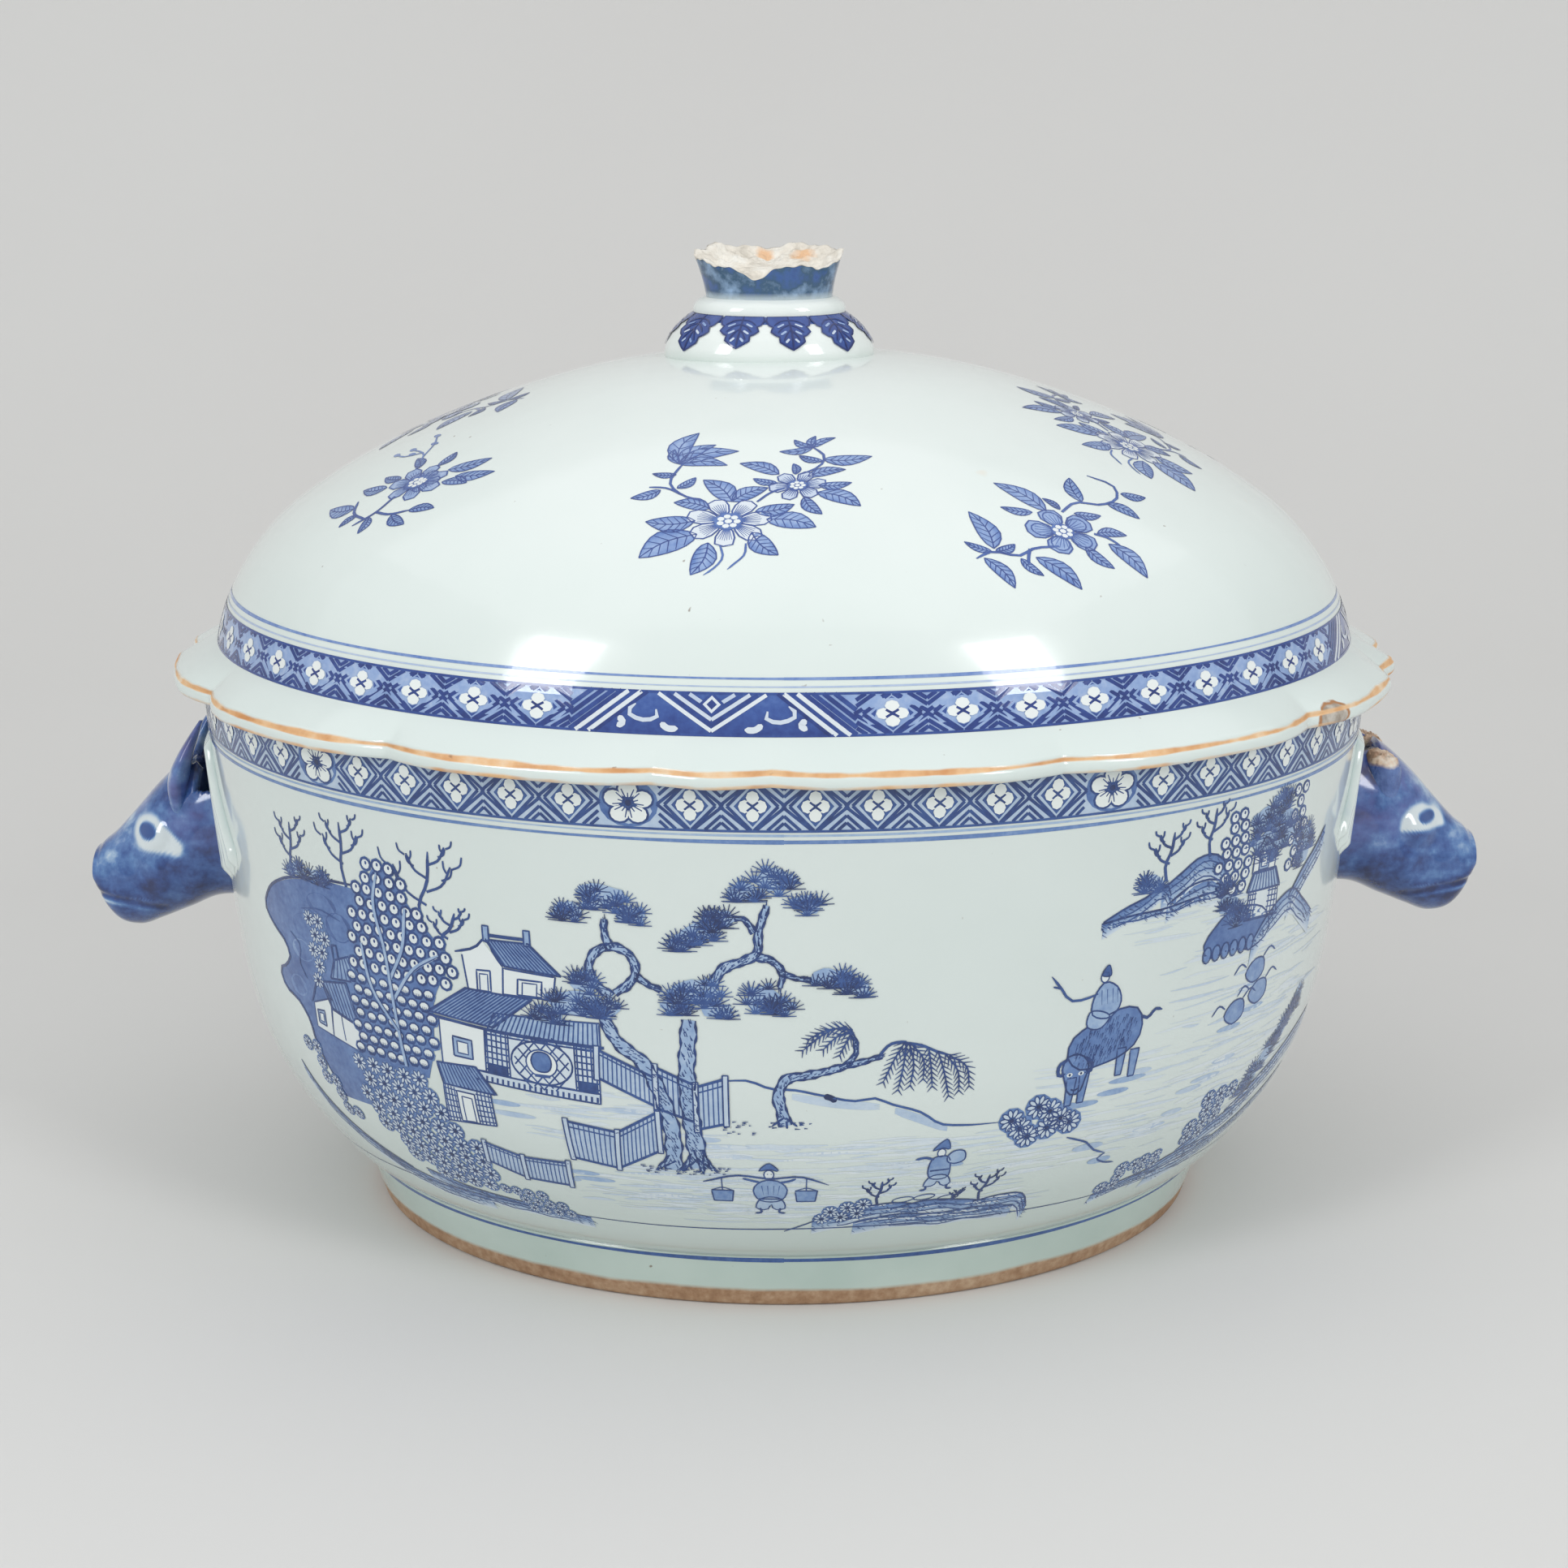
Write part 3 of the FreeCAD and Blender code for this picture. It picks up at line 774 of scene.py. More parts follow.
    def fire(self, finish, body, slot):
        """Wraps everything on to the skin as one piece that rides with its body."""
        uv, lift = np.vstack(self.points), np.concatenate(self.lifts)
        place, out = self.skin.wrap(uv, lift)
        faces = []
        for block in self.faces:
            p = place[block]
            flat = np.cross(p[:, 1] - p[:, 0], p[:, 2] - p[:, 0])
            if block.shape[1] > 3:
                flat = flat + np.cross(p[:, 2] - p[:, 0], p[:, 3] - p[:, 0])
            wrong = (flat * out[block[:, 0]]).sum(-1) < 0
            faces += np.where(wrong[:, None], block[:, ::-1], block).tolist()
        mesh = bpy.data.meshes.new(self.name)
        mesh.from_pydata(place.tolist(), [], faces)
        mesh.attributes.new("tone", "FLOAT", "POINT").data.foreach_set(
            "value", np.concatenate(self.tones).astype(np.float32))
        mesh.update()
        piece = bpy.data.objects.new(self.name, mesh)
        bpy.context.scene.collection.objects.link(piece)
        piece.data.materials.append(finish)
        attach(piece, body)
        print(self.name, "triangles", sum(len(f) - 2 for f in faces))
        return piece


# %% [markdown]
# Cobalt under a glaze isn't one blue.  Thin wash is grey-blue, full strength is navy, and
# the brush leaves it blotchy, because pigment settles unevenly in the raw clay.  So noise
# pushes each tone up and down a little before a ramp turns it into colour.

# %% Cobalt
COBALT = [(0.0, shade(226, 233, 231)), (0.12, shade(194, 209, 222)), (0.3, shade(149, 175, 207)),
          (0.5, shade(97, 130, 182)), (0.7, shade(54, 89, 150)), (0.86, shade(31, 62, 121)),
          (1.0, shade(20, 40, 86))]
VIOLET = [(0.0, shade(232, 238, 237)), (0.12, shade(196, 209, 227)), (0.3, shade(145, 170, 212)),
          (0.5, shade(91, 124, 186)), (0.7, shade(56, 87, 157)), (0.86, shade(38, 63, 133)),
          (1.0, shade(28, 44, 102))]


def cobalt_finish(name, stops):
    """Underglaze blue: tone to colour, blotched at two sizes, under the same gloss."""
    finish = Finish(name)
    tone = finish.mark("tone")
    settle = (finish.noise(130, 3.0) - 0.5) * 0.30 + (finish.noise(620, 3.0) - 0.5) * 0.26
    colour = finish.ramp(tone + settle * tone.rise(0.02, 0.35), stops)
    return glazed(finish, colour)


cobalt = cobalt_finish("cobalt_on_bowl", COBALT)
cobalt_lid = cobalt_finish("cobalt_on_cover", VIOLET)

# %% [markdown]
# Both bands carry the trellis that export painters used on rims: crossing double lines
# leave diamonds, each diamond holds a four-lobed white flower in a thin frame, and the
# triangles above and below the crossings are filled with nested chevrons.  One unit is
# drawn once as arrays of lines and blots, and copied round the pot as one array.

# %% Trellis band
def trellis_unit():
    """Lines of one unit in shares of its width and height, as starts and ends.

    Three nested slants run each side of the unit, because three crossing lines in each
    direction are parallel: a slant x = y / 2 moved sideways by a share of the width.
    """
    lines = []
    for shift in (-0.09, 0.03):
        for side in (-1, 1):
            for up in (-1, 1):
                lines.append(((side * (0.5 + shift), 0.0), (side * (0.02 + max(shift, 0)), up * 0.5)))
    for inner in (0.10, 0.21):
        for side in (-1, 1):
            for up in (-1, 1):
                lines.append(((side * 0.5, up * (0.06 + inner * 1.35)),
                              (side * (0.12 + inner * 1.15), up * 0.5)))
    return np.array(lines)


def unit_places(skin, unit):
    """Middles of the units that fit round a skin, and the width that each one gets."""
    count = round(skin.around / unit)
    wide = skin.around / count
    return (np.arange(count) + 0.5) * wide - skin.around / 2, wide


def trellis_band(painting, low, high, unit, free, ground, dark, bold):
    """A band of trellis from v low to v high; free marks the units that are left empty."""
    skin = painting.skin
    centres, wide = unit_places(skin, unit)
    tall, middle = high - low, (low + high) / 2
    heart = np.stack([centres[~free], np.full((~free).sum(), middle)], -1)
    round_u, up_v = np.meshgrid(np.linspace(0, skin.around, len(centres) * 6), np.linspace(low, high, 6))
    painting.sheet(np.stack([round_u, up_v], -1), ground, WASH)
    lines = heart[:, None, None] + trellis_unit() * [wide, tall * 0.97]
    painting.hairs(lines[:, :, 0], lines[:, :, 1], wide * bold, dark, INK, tip=1.0)
    diamond = np.array([(0.3, 0.0), (0.0, 0.41), (-0.3, 0.0), (0.0, -0.41)]) * [wide, tall]
    painting.add(heart[:, None] + diamond, np.arange(4 * len(heart)).reshape(-1, 4), dark * 0.86, MIDDLE)
    lobe = np.array([(0.125, 0.0), (-0.125, 0.0), (0.0, 0.18), (0.0, -0.18)]) * [wide, tall]
    painting.blots(heart[:, None] + lobe, wide * 0.105, tall * 0.135, 0.0, WHITE, sides=8)
    for side in (-1, 1):
        cross = np.array([wide * 0.09, side * tall * 0.09])
        painting.hairs(heart - cross, heart + cross, wide * 0.035, dark, WHITE + 0.03, tip=1)
    edge = np.linspace(0, skin.around, len(centres) * 6)
    for level in (low, high):
        line = np.stack([edge, np.full_like(edge, level)], -1)
        painting.sheet(np.stack([line - [0, 0.3], line + [0, 0.3]], 1), dark * 0.9, ACCENT)


def gap_round(skin, places, targets):
    """Distance round the skin from each place to each target."""
    return np.abs((places[:, None] - np.array(targets) + skin.around / 2) % skin.around - skin.around / 2)


def ring_line(painting, level, width, tone, wander=0.0):
    """A line painted all the way round while the pot turns on a wheel."""
    u = np.linspace(0, painting.skin.around, 420)
    v = level + wander * np.sin(u / painting.skin.around * 14 * np.pi)
    line = np.stack([u, v], -1)
    half = width / 2 * (1 + 0.35 * np.sin(u / 23.0) * np.sin(u / 61.0))
    side = np.stack([np.zeros_like(half), half], -1)
    painting.sheet(np.stack([line - side, line + side], 1), tone, MIDDLE)


# %% [markdown]
# Every hundred millimetres or so the bowl's band is interrupted by a prunus flower with
# five round petals, outlined in dark blue and left white.

# %% Bowl band
BAND_FLOWERS = (-319, -223, -127, -31, 84, 180, 276, 372)
band = Painting("bowl_band_painted", bowl_skin)
BAND_LOW, BAND_HIGH = bowl_skin.level(137.4), bowl_skin.level(149.6)
band_places, _ = unit_places(bowl_skin, 14.2)
flower_places = band_places[gap_round(bowl_skin, band_places, BAND_FLOWERS).argmin(0)]
trellis_band(band, BAND_LOW, BAND_HIGH, 14.2, np.isin(band_places, flower_places), 0.2, 0.84, 0.055)


def prunus(painting, u, v, size, tone):
    """Five white petals round a starry heart."""
    a = np.pi / 2 + np.arange(5) * 2 * np.pi / 5
    petals = np.stack([u + 0.6 * size * np.cos(a), v + 0.56 * size * np.sin(a)], -1)
    painting.blots([(u, v)], size * 1.18, size * 1.0, 0.6, MIDDLE, sides=16)
    painting.blots(petals, size * 0.46, size * 0.42, tone, ACCENT, sides=12)
    painting.blots(petals, size * 0.37, size * 0.33, 0.0, WHITE, sides=12)
    b = np.pi / 2 + np.arange(15) * 2 * np.pi / 15
    reach = size * np.where(np.arange(15) % 3 == 0, 0.42, 0.62)
    painting.hairs(np.repeat([(u, v)], 15, 0), np.stack([u + reach * np.cos(b), v + reach * np.sin(b)], -1),
                   size * 0.07, tone, WHITE + 0.03, tip=0.6)
    painting.blots([(u, v)], size * 0.13, size * 0.13, 1.0, WHITE + 0.05)


for place in flower_places:
    prunus(band, place, (BAND_LOW + BAND_HIGH) / 2, 6.0, 0.85)
ring_line(band, bowl_skin.level(134.7), 0.9, 0.5)
ring_line(band, bowl_skin.level(136.3), 0.5, 0.28)
ring_line(band, bowl_skin.level(28.0), 0.45, 0.85, 0.5)
band.fire(cobalt, "tureen", "bowl_glaze")
foot_line = Painting("foot_line_painted", foot_skin)
ring_line(foot_line, 1.1, 1.1, 0.72)
foot_line.fire(cobalt, "tureen", "foot_glaze")

# %% [markdown]
# The cover's band is stronger and more violet, because the cobalt is thick there.  It is
# cut by four panels, one on each side: a dark trapezoid with white scrolls, and a
# valley of nested V lines that holds a small square spiral.

# %% Cover band
lid_band = Painting("cover_band_painted", dome_skin)
LID_LOW, LID_HIGH = dome_skin.level(168.9), dome_skin.run[-1] - 0.3
lid_places, lid_unit = unit_places(dome_skin, 16.4)
PANEL_UNITS = 4
PANEL_FOOT = PANEL_UNITS / 2 * lid_unit
panel_middles = [-22.0 + k * dome_skin.around / 4 for k in range(4)]
panel_places = lid_places[gap_round(dome_skin, lid_places - lid_unit / 2,
                                    panel_middles).argmin(0)] - lid_unit / 2
in_panel = (gap_round(dome_skin, lid_places, panel_places) < PANEL_FOOT).any(1)
trellis_band(lid_band, LID_LOW, LID_HIGH, 16.4, in_panel, 0.3, 0.88, 0.058)


def cartouche(painting, u0, low, high):
    """A panel in the band: v grows downwards, so high is the panel's foot."""
    tall = high - low

    def at(points):
        """Points of the panel, given by u in millimetres and a share of its height."""
        return [(u0 + x, low + y * tall) for x, y in points]

    crown, slant = 15.0, 12.0
    u = np.linspace(-1, 1, 24)
    t = np.linspace(0, 1, 7)[:, None]
    block = np.stack([u0 + u * (crown + slant * t), low + tall * t + 0 * u], -1)
    painting.sheet(block, 0.66 + 0.16 * np.repeat(t, 24, 1), MIDDLE)
    for side in (-1, 1):
        for gap, tone, wide in ((0.0, 0.9, 0.8), (1.5, 0.05, 1.0), (3.0, 0.8, 0.9), (4.6, 0.05, 1.0),
                                (6.2, 0.85, 1.1), (8.2, 0.8, 1.1),
                                (10.6, 0.85, 1.1), (13.2, 0.8, 1.1)):
            reach = min(1.0, (PANEL_FOOT - crown - gap) / slant)
            painting.ruled(at([(side * (crown + gap), 0.0), (side * (crown + gap + slant * reach), reach)]),
                           wide, tone, ACCENT)
        painting.stroke(at([(side * 17.6, 0.3), (side * 19.4, 0.48), (side * 16, 0.68), (side * 12.4, 0.56),
                            (side * 12.8, 0.42)]), 1.0, 0.1, WHITE, 0.3, 0.4)
        painting.stroke(at([(side * 21.5, 0.62), (side * 20.4, 0.76), (side * 21.8, 0.86)]), 1.5, 0.06,
                        WHITE, 0.4, 0.2)
        painting.stroke(at([(side * 11.6, 0.74), (side * 10.0, 0.86), (side * 7.6, 0.86)]), 1.5, 0.06,
                        WHITE, 0.4, 0.2)
        for depth, tone in ((0.0, 0.05), (0.16, 0.85), (0.3, 0.1), (0.44, 0.8), (0.58, 0.15)):
            painting.ruled(at([(side * 12.5 * (1 - depth), 0.03), (0, 0.9 * (1 - depth))]), 0.9, tone,
                           WHITE + 0.01 * (depth > 0.1))
    for size, tone in ((3.0, 0.8), (2.1, 0.06), (1.2, 0.85)):
        painting.patch(at([(-size, 0.27), (0, 0.27 - size / tall), (size, 0.27), (0, 0.27 + size / tall)]),
                       tone,
                       WHITE + 0.06 + (3.0 - size) * 0.01, smooth=False)


for place in panel_places:
    cartouche(lid_band, place, LID_LOW, LID_HIGH)
ring_line(lid_band, dome_skin.level(172.2), 0.7, 0.42)
ring_line(lid_band, dome_skin.level(170.4), 0.4, 0.2)
lid_band.fire(cobalt_lid, "cover", "cover_glaze")

# %% [markdown]
# Each handle is a boar's head, pressed hollow in a mould and luted over a fluted leaf on
# the bowl's end, with a vent behind the ears so that it wouldn't burst in the kiln.  The
# head is a loft: oval sections along the snout, drawn by smooth curves through a few
# stations.  Eyes, mouth, brow and nostrils are then pushed in or out of that surface.

# %% Boar heads
# Stations from the bowl to the snout: distance from the middle, lowest, highest, half width.
HEAD_STATIONS = [(152.4, 83.0, 129.0, 18.3), (158, 82.5, 126.2, 18), (166, 79.2, 121.6, 17),
                 (174, 75.9, 114.6, 15.2),
                 (181, 73.6, 106.8, 12.9), (186.5, 75.2, 100.8, 11.2), (190.4, 80.6, 97.0, 10.0),
                 (192.6, 86.0, 95.6, 8.6)]
HEAD_ROWS, HEAD_COLUMNS = 90, 180
HEAD_SQUARE = 0.85
HEAD_WALL = 3.2 * MM


def near(distance, size):
    """A soft bump of height 1 that fades over size."""
    return np.exp(-(distance / size) ** 2)


def to_segment(x, z, start, end):
    """Distance to a segment, and how far along it the nearest point is."""
    start, end = np.array(start), np.array(end)
    run = end - start
    t = np.clip(((x - start[0]) * run[0] + (z - start[1]) * run[1]) / (run @ run), 0, 1)
    return np.hypot(x - start[0] - t * run[0], z - start[1] - t * run[1]), t


def head_form(side, lift, eye, tail, round_eye, lower_lid, pupil, open_level):
    """One head as an open skin; side is -1 or 1, lift moves it up, in millimetres.

    The white of the eye is all that lies within a shrinking distance of the line from
    eye to tail, above the lower lid.
    """
    stations = smooth_line(HEAD_STATIONS, HEAD_ROWS)
    far, low, high, half = (stations[:, c:c + 1] for c in range(4))
    a = np.linspace(0, 2 * np.pi, HEAD_COLUMNS, endpoint=False)[None, :]
    ca, sa = (np.sign(f) * np.abs(f) ** HEAD_SQUARE for f in (np.cos(a), np.sin(a)))
    y = half * ca * (1 - 0.10 * sa)
    z = (low + high) / 2 + (high - low) / 2 * sa
    x = far + 0 * a
    eye_gap, along = to_segment(x, z, eye, tail)
    white = ((1 - blend(-0.8, 0.8, eye_gap - (round_eye[0] - round_eye[1] * along)))
             * blend(-0.6, 0.6, z - lower_lid))
    ball = near(np.hypot(x - eye[0], z - eye[1]), 4.2)
    socket = near(np.hypot(x - eye[0], z - eye[1]) - 6.0, 1.7)
    mouth, mouth_along = to_segment(x, z, (191, 84.4), (172, 81.6))
    cheek = near(np.hypot(x - 167, z - 92), 9)
    brow = near(to_segment(x, z, (170, 112), (181, 103.6))[0], 2.2)
    outward = (ball - 0.5 * socket - 0.9 * near(mouth, 0.8) * (1 - 0.6 * mouth_along)
               + 0.9 * cheek + 0.5 * brow)
    outward += 0.35 * np.sin(x * 0.55 + 1.3 * np.sin(z * 0.3)) * near(z - 88, 14)
    y = y + np.sign(ca) * outward * np.abs(ca) ** 0.6
    nostril = near(np.hypot(np.abs(y) - 3.6, z - 91.6), 1.5) * blend(186, 191, x)
    rim = near(x - 189.6, 1.5) * blend(84, 90, z)
    x = x - 2.4 * nostril + 0.6 * rim
    grow = 1 + 0.035 * rim
    points = np.stack([side * x, y * grow, z + lift], -1).reshape(-1, 3) * MM
    pole = np.array([[side * 192.2, 0.0, 90.6 + lift]]) * MM
    everything = np.vstack([points, pole])
    quads = grid_quads(HEAD_ROWS, HEAD_COLUMNS)
    ring = (HEAD_ROWS - 1) * HEAD_COLUMNS + np.arange(HEAD_COLUMNS)
    fans = [(p, q, len(points)) for p, q in zip(ring.tolist(), np.roll(ring, -1).tolist())]
    middle = points[quads].mean(1) / MM
    hole = (np.abs(middle[:, 0]) < 164.5) & (np.abs(middle[:, 1]) < 8.0) & (middle[:, 2] > 106 + lift)
    hole |= (np.abs(middle[:, 0]) < 162.0) & (middle[:, 2] > open_level + lift)
    pupil_gap = np.hypot((x - pupil[0]) / pupil[2], (z - pupil[1]) / pupil[3])
    # Darker under the jaw, along the mouth, over the lower half and next to the bowl, paler on the brow and
    # the snout's tip: partly the cobalt's own unevenness, and partly painted shade and painted highlight.
    dark = (0.66 + 0.16 * near(z - 80, 9) + 0.12 * near(mouth, 2.2)
            - 0.10 * near(np.hypot(x - 177, z - 105), 11))
    dark = (dark + 0.12 * (1 - blend(90, 101, z)) - 0.06 + 0.10 * near(x - 158, 6)
            - 0.22 * near(np.hypot(x - 190, z - 93), 3.6))
    tone = dark * (1 - white) + white * (0.04 + 0.68 * (1 - blend(0.85, 1.15, pupil_gap)))
    lip = near(mouth - 1.6, 0.7) * (z < 84) * (1 - 0.9 * mouth_along)
    tone = tone * (1 - 0.8 * lip) - 0.35 * near(np.hypot(x - 187, z - 96), 3.0)
    crown = near(x - 160, 6)
    return everything, quads[~hole], fans, *(np.append(mark.ravel(), 0.0) for mark in (tone, white, crown))


def head_finish():
    """Mottled cobalt in level bands under a glossy glaze, clear of the white of the eye; the tone it reads
    holds painted shade and painted highlight.
    """
    finish = Finish("boar_head_cobalt")
    tone, white = finish.mark("tone"), finish.mark("white")
    cloud = (finish.noise(120, 4.0) - 0.5) * 1.15
    level_bands = (finish.noise(60, 2.0, 0.5, (1.0, 1.0, 3.4)) - 0.5) * 0.8
    fine = (finish.noise(520, 3.0) - 0.5) * 0.42
    colour = finish.ramp(tone + (cloud + level_bands + fine) * (1 - white),
                         [(0.0, shade(226, 233, 231)), (0.2, shade(156, 182, 210)),
                          (0.42, shade(92, 130, 182)),
                          (0.62, shade(62, 97, 157)), (0.8, shade(43, 71, 131)), (1.0, shade(26, 42, 90))])
    violet = finish.noise(75, 3.0).rise(0.4, 0.62) * finish.height().rise(0.096, 0.112) * 0.55
    colour = finish.mix(violet * (1 - white), colour, shade(112, 112, 170))
    dirt = (finish.height().rise(0.1115, 0.1205) * (finish.noise(95, 3.0) + 0.1)).rise(0.42, 0.62)
    colour = finish.mix(dirt * finish.mark("crown"), colour, shade(58, 44, 44))
    return glazed(finish, colour)


def walled(piece, thickness):
    """Gives an open skin a wall on its inner side."""
    wall = piece.modifiers.new("wall", "SOLIDIFY")
    wall.thickness = thickness
    wall.offset = -1.0
    return piece


def skin_out(piece, inside):
    """Merges doubles and turns an open skin's faces away from a point inside it."""
    form = bmesh.new()
    form.from_mesh(piece.data)
    bmesh.ops.remove_doubles(form, verts=form.verts, dist=1e-7)
    loose = [v for v in form.verts if not v.link_faces]
    bmesh.ops.delete(form, geom=loose, context="VERTS")
    bmesh.ops.recalc_face_normals(form, faces=form.faces)
    face = max(form.faces, key=lambda f: (f.calc_center_median() - inside).length)
    if face.normal.dot(face.calc_center_median() - inside) < 0:
        bmesh.ops.reverse_faces(form, faces=form.faces)
    form.to_mesh(piece.data)
    form.free()
    return piece


boar_blue = head_finish()
# Side, lift, eye, its tail, its radius and taper, lower lid, pupil with its size, crown cut open above.
HEADS = {"left": (-1, 0.0, (174.6, 103.0), (167.4, 100.0), (5.3, 2.7), 0.0, (175.4, 103.8, 2.6, 2.2),
                  115.5),
         "right": (1, 4.2, (175.4, 100.8), (177.6, 100.6), (6.4, 0.9), 99.8, (177.2, 103.4, 2.6, 1.6),
                   122.0)}
for name, (side, lift, *features) in HEADS.items():
    everything, quads, fans, tone, white, crown = head_form(side, lift, *features)
    head = make_piece(name + "_head_sculpted", everything, quads,
                      {"tone": tone, "white": white, "crown": crown}, fans)
    skin_out(head, Vector((side * 170 * MM, 0, (98 + lift) * MM)))
    walled(head, HEAD_WALL)
    dress(head, boar_blue, name + "_boar_head", "tureen")
print("heads built")

# %% [markdown]
# The left head still has its ears: pointed leaves that stand up against the bowl.  On
# the right head both have snapped off, and leave rough scars of bare fired clay.

# %% Ears and scars
def loft(name, stations, columns, rows, marks=None):
    """A closed loft of ovals: stations give centre x, y, z, then half sizes along x and y."""
    line = smooth_line(stations, rows)
    a = np.linspace(0, 2 * np.pi, columns, endpoint=False)[None, :]
    x = line[:, 0:1] + line[:, 3:4] * np.cos(a)
    y = line[:, 1:2] + line[:, 4:5] * np.sin(a)
    z = line[:, 2:3] + 0 * a
    points = np.stack([x, y, z], -1).reshape(-1, 3)
    poles = line[[0, -1], :3]
    ring = np.arange(columns)
    last = (rows - 1) * columns
    fans = [(p, q, len(points)) for p, q in zip(ring.tolist(), np.roll(ring, -1).tolist())]
    fans += [(last + q, last + p, len(points) + 1) for p,
             q in zip(ring.tolist(), np.roll(ring, -1).tolist())]
    full = {k: np.append(f(x, y, z).ravel(), [f(*(poles[i:i + 1].T))[0] for i in (0, 1)]) for k,
            f in (marks or {}).items()}
    return face_out(make_piece(name, np.vstack([points, poles]) * MM, grid_quads(rows, columns), full,
                               fans))


def ear_stations(y):
    """A leaf that rises from the crown and leans in to the bowl's rim."""
    lean = 1 if y > 0 else -1
    return [(-166.0, y, 107, 2.2, 4.2), (-166.6, y, 113, 3.0, 5.4), (-166.2, y + lean * 0.4, 119, 2.9, 5.8),
            (-164.4, y + lean * 0.6, 124.6, 2.2, 4.8), (-161.8, y + lean * 0.4, 130, 1.4, 3.0),
            (-159.6, y, 134.4, 0.5, 0.8)]


def ear_tone(x, y, z):
    """Blue in faint level bands, worn pale on the outer face."""
    return 0.6 + 0.12 * np.sin(z * 0.5) - 0.3 * near(x + 168.4, 0.9)


def none(x, y, z):
    """No mark anywhere."""
    return 0 * x


for name, y in (("left_front_ear", -10.5), ("left_back_ear", 10.5)):
    ear = loft(name + "_sculpted", ear_stations(y), 40, 40,
               {"tone": ear_tone, "white": none, "crown": none})
    dress(ear, boar_blue, name, "tureen")


def scar_finish():
    """Broken porcelain: cream and grainy, stained brown where old dirt has settled."""
    finish = Finish("broken_clay")
    grain = finish.noise(900, 4.0)
    stain = finish.noise(190, 3.0)
    colour = finish.ramp(stain * 0.8 + grain * 0.3, [(0.3, shade(96, 74, 62)), (0.45, shade(168, 134, 108)),
                                                     (0.58, shade(222, 196, 172)),
                                                     (0.75, shade(236, 228, 214))])
    glaze_edge = 1 - (finish.height() + (stain - 0.5) * 0.003).rise(0.1222, 0.1234)
    blue = finish.ramp(stain, [(0.35, shade(56, 78, 140)), (0.65, shade(100, 126, 180))])
    colour = finish.mix(glaze_edge, colour, blue)
    return finish.surface(Base_Color=colour, Roughness=(1 - glaze_edge) * 0.4 + 0.25,
                          Normal=finish.bump(grain + stain * 2, 0.0004))


broken = scar_finish()
for name, y in (("right_front_broken_ear", -10.5), ("right_back_broken_ear", 10.5)):
    stub = loft(name + "_scar", [(165.0, y, 112, 4.4, 4.6), (164.8, y, 118, 4.9, 5.4),
                                 (164.4, y, 122.6, 4.9, 5.4),
                                 (164.0, y, 124.6, 4.0, 4.6), (163.8, y, 125.4, 1.8, 2.4)], 48, 26)
    p = np.empty(len(stub.data.vertices) * 3)
    stub.data.vertices.foreach_get("co", p)
    p = p.reshape(-1, 3)
    far, aside, up = p.T
    rough = 0.45 * np.sin(far * 2600) * np.cos(aside * 2100) + 0.3 * np.sin(aside * 4300 + far * 3900)
    p[:, 2] += rough * MM * blend(0.1212, 0.124, up) - 0.22 * (far - 0.1644) * blend(0.119, 0.124, up)
    stub.data.vertices.foreach_set("co", p.ravel())
    dress(stub, broken, name, "tureen")

# %% [markdown]
# Behind each head a fluted leaf is pressed into the bowl's end.  Its flutes fan out from
# a narrow top to a scalloped hem, and glaze has pooled green between them.

# %% Fluted leaves
LEAF_TOP = 134.0
FLUTES = 15


def leaf_panel(side, low):
    """A closed leaf on the bowl's end: the flutes are ridges of |cos| across its width."""
    rows, columns = 44, 241
    s = np.linspace(-1, 1, columns)[None, :]
    hem = low + 3.0 * np.abs(np.sin(s * FLUTES * np.pi / 2)) + 12 * np.abs(s) ** 3
    t = np.linspace(0, 1, rows)[:, None]
    z = hem + (LEAF_TOP - hem) * t
    spread = np.radians(22.5 - 10.5 * blend(100, LEAF_TOP, z))
    ridge = np.abs(np.cos(s * FLUTES * np.pi / 2)) ** 0.7
    fade = blend(0, 0.1, t) * blend(0, 0.12, 1 - t) * blend(0, 0.05, 1 - np.abs(s))
    outer = (0.35 + 1.75 * ridge) * fade
    shells = [outer, -0.5 * blend(0, 0.02, 1 - np.abs(s)) * blend(0, 0.02, t) * blend(0, 0.02, 1 - t)]
    line = bowl_skin.line
    radius = np.interp(z * MM, line[:, 1], line[:, 0])
    a = side * np.pi / 2 + s * spread
    sheets = []
    for shell in shells:
        r = radius + shell * MM
        sheets.append(np.stack([r * np.sin(a), -RATIO * r * np.cos(a), z * MM], -1))
    points = np.vstack([sheets[0].reshape(-1, 3), sheets[1].reshape(-1, 3)])
    front_quads = grid_quads(rows, columns, wrap_columns=False)
    quads = np.vstack([front_quads, front_quads[:, ::-1] + rows * columns])
    ridge_mark = np.tile((ridge + 0 * t).ravel(), 2)
    return points, quads, ridge_mark


def leaf_finish():
    """Greenish glaze that is thick in the flutes and thin on their ridges."""
    finish = Finish("pooled_glaze")
    pool = 1 - finish.mark("ridge")
    colour = finish.mix((pool + (finish.noise(80) - 0.5) * 0.5).rise(0.1, 0.9), shade(219, 229, 226),
                        shade(172, 194, 192))
    streak = finish.noise(90, 3.0, 0.5, (1.0, 1.0, 0.18)).rise(0.55, 0.75)
    colour = finish.mix(streak * 0.35, colour, shade(132, 156, 186))
    return glazed(finish, colour)


pooled = leaf_finish()
for name, side, low in (("left", -1, 92.0), ("right", 1, 99.0)):
    points, quads, ridge = leaf_panel(side, low)
    leaf = face_out(make_piece(name + "_fluted_leaf", points, quads, {"ridge": ridge}))
    dress(leaf, pooled, name + "_handle_panel", "tureen")

# %% [markdown]
# The knob was a flower bud on a white bead and a collar of acanthus leaves.  The bud has
# lost its top, so its wall ends in a ragged edge of chipped porcelain, low at the front
# and higher at the back.

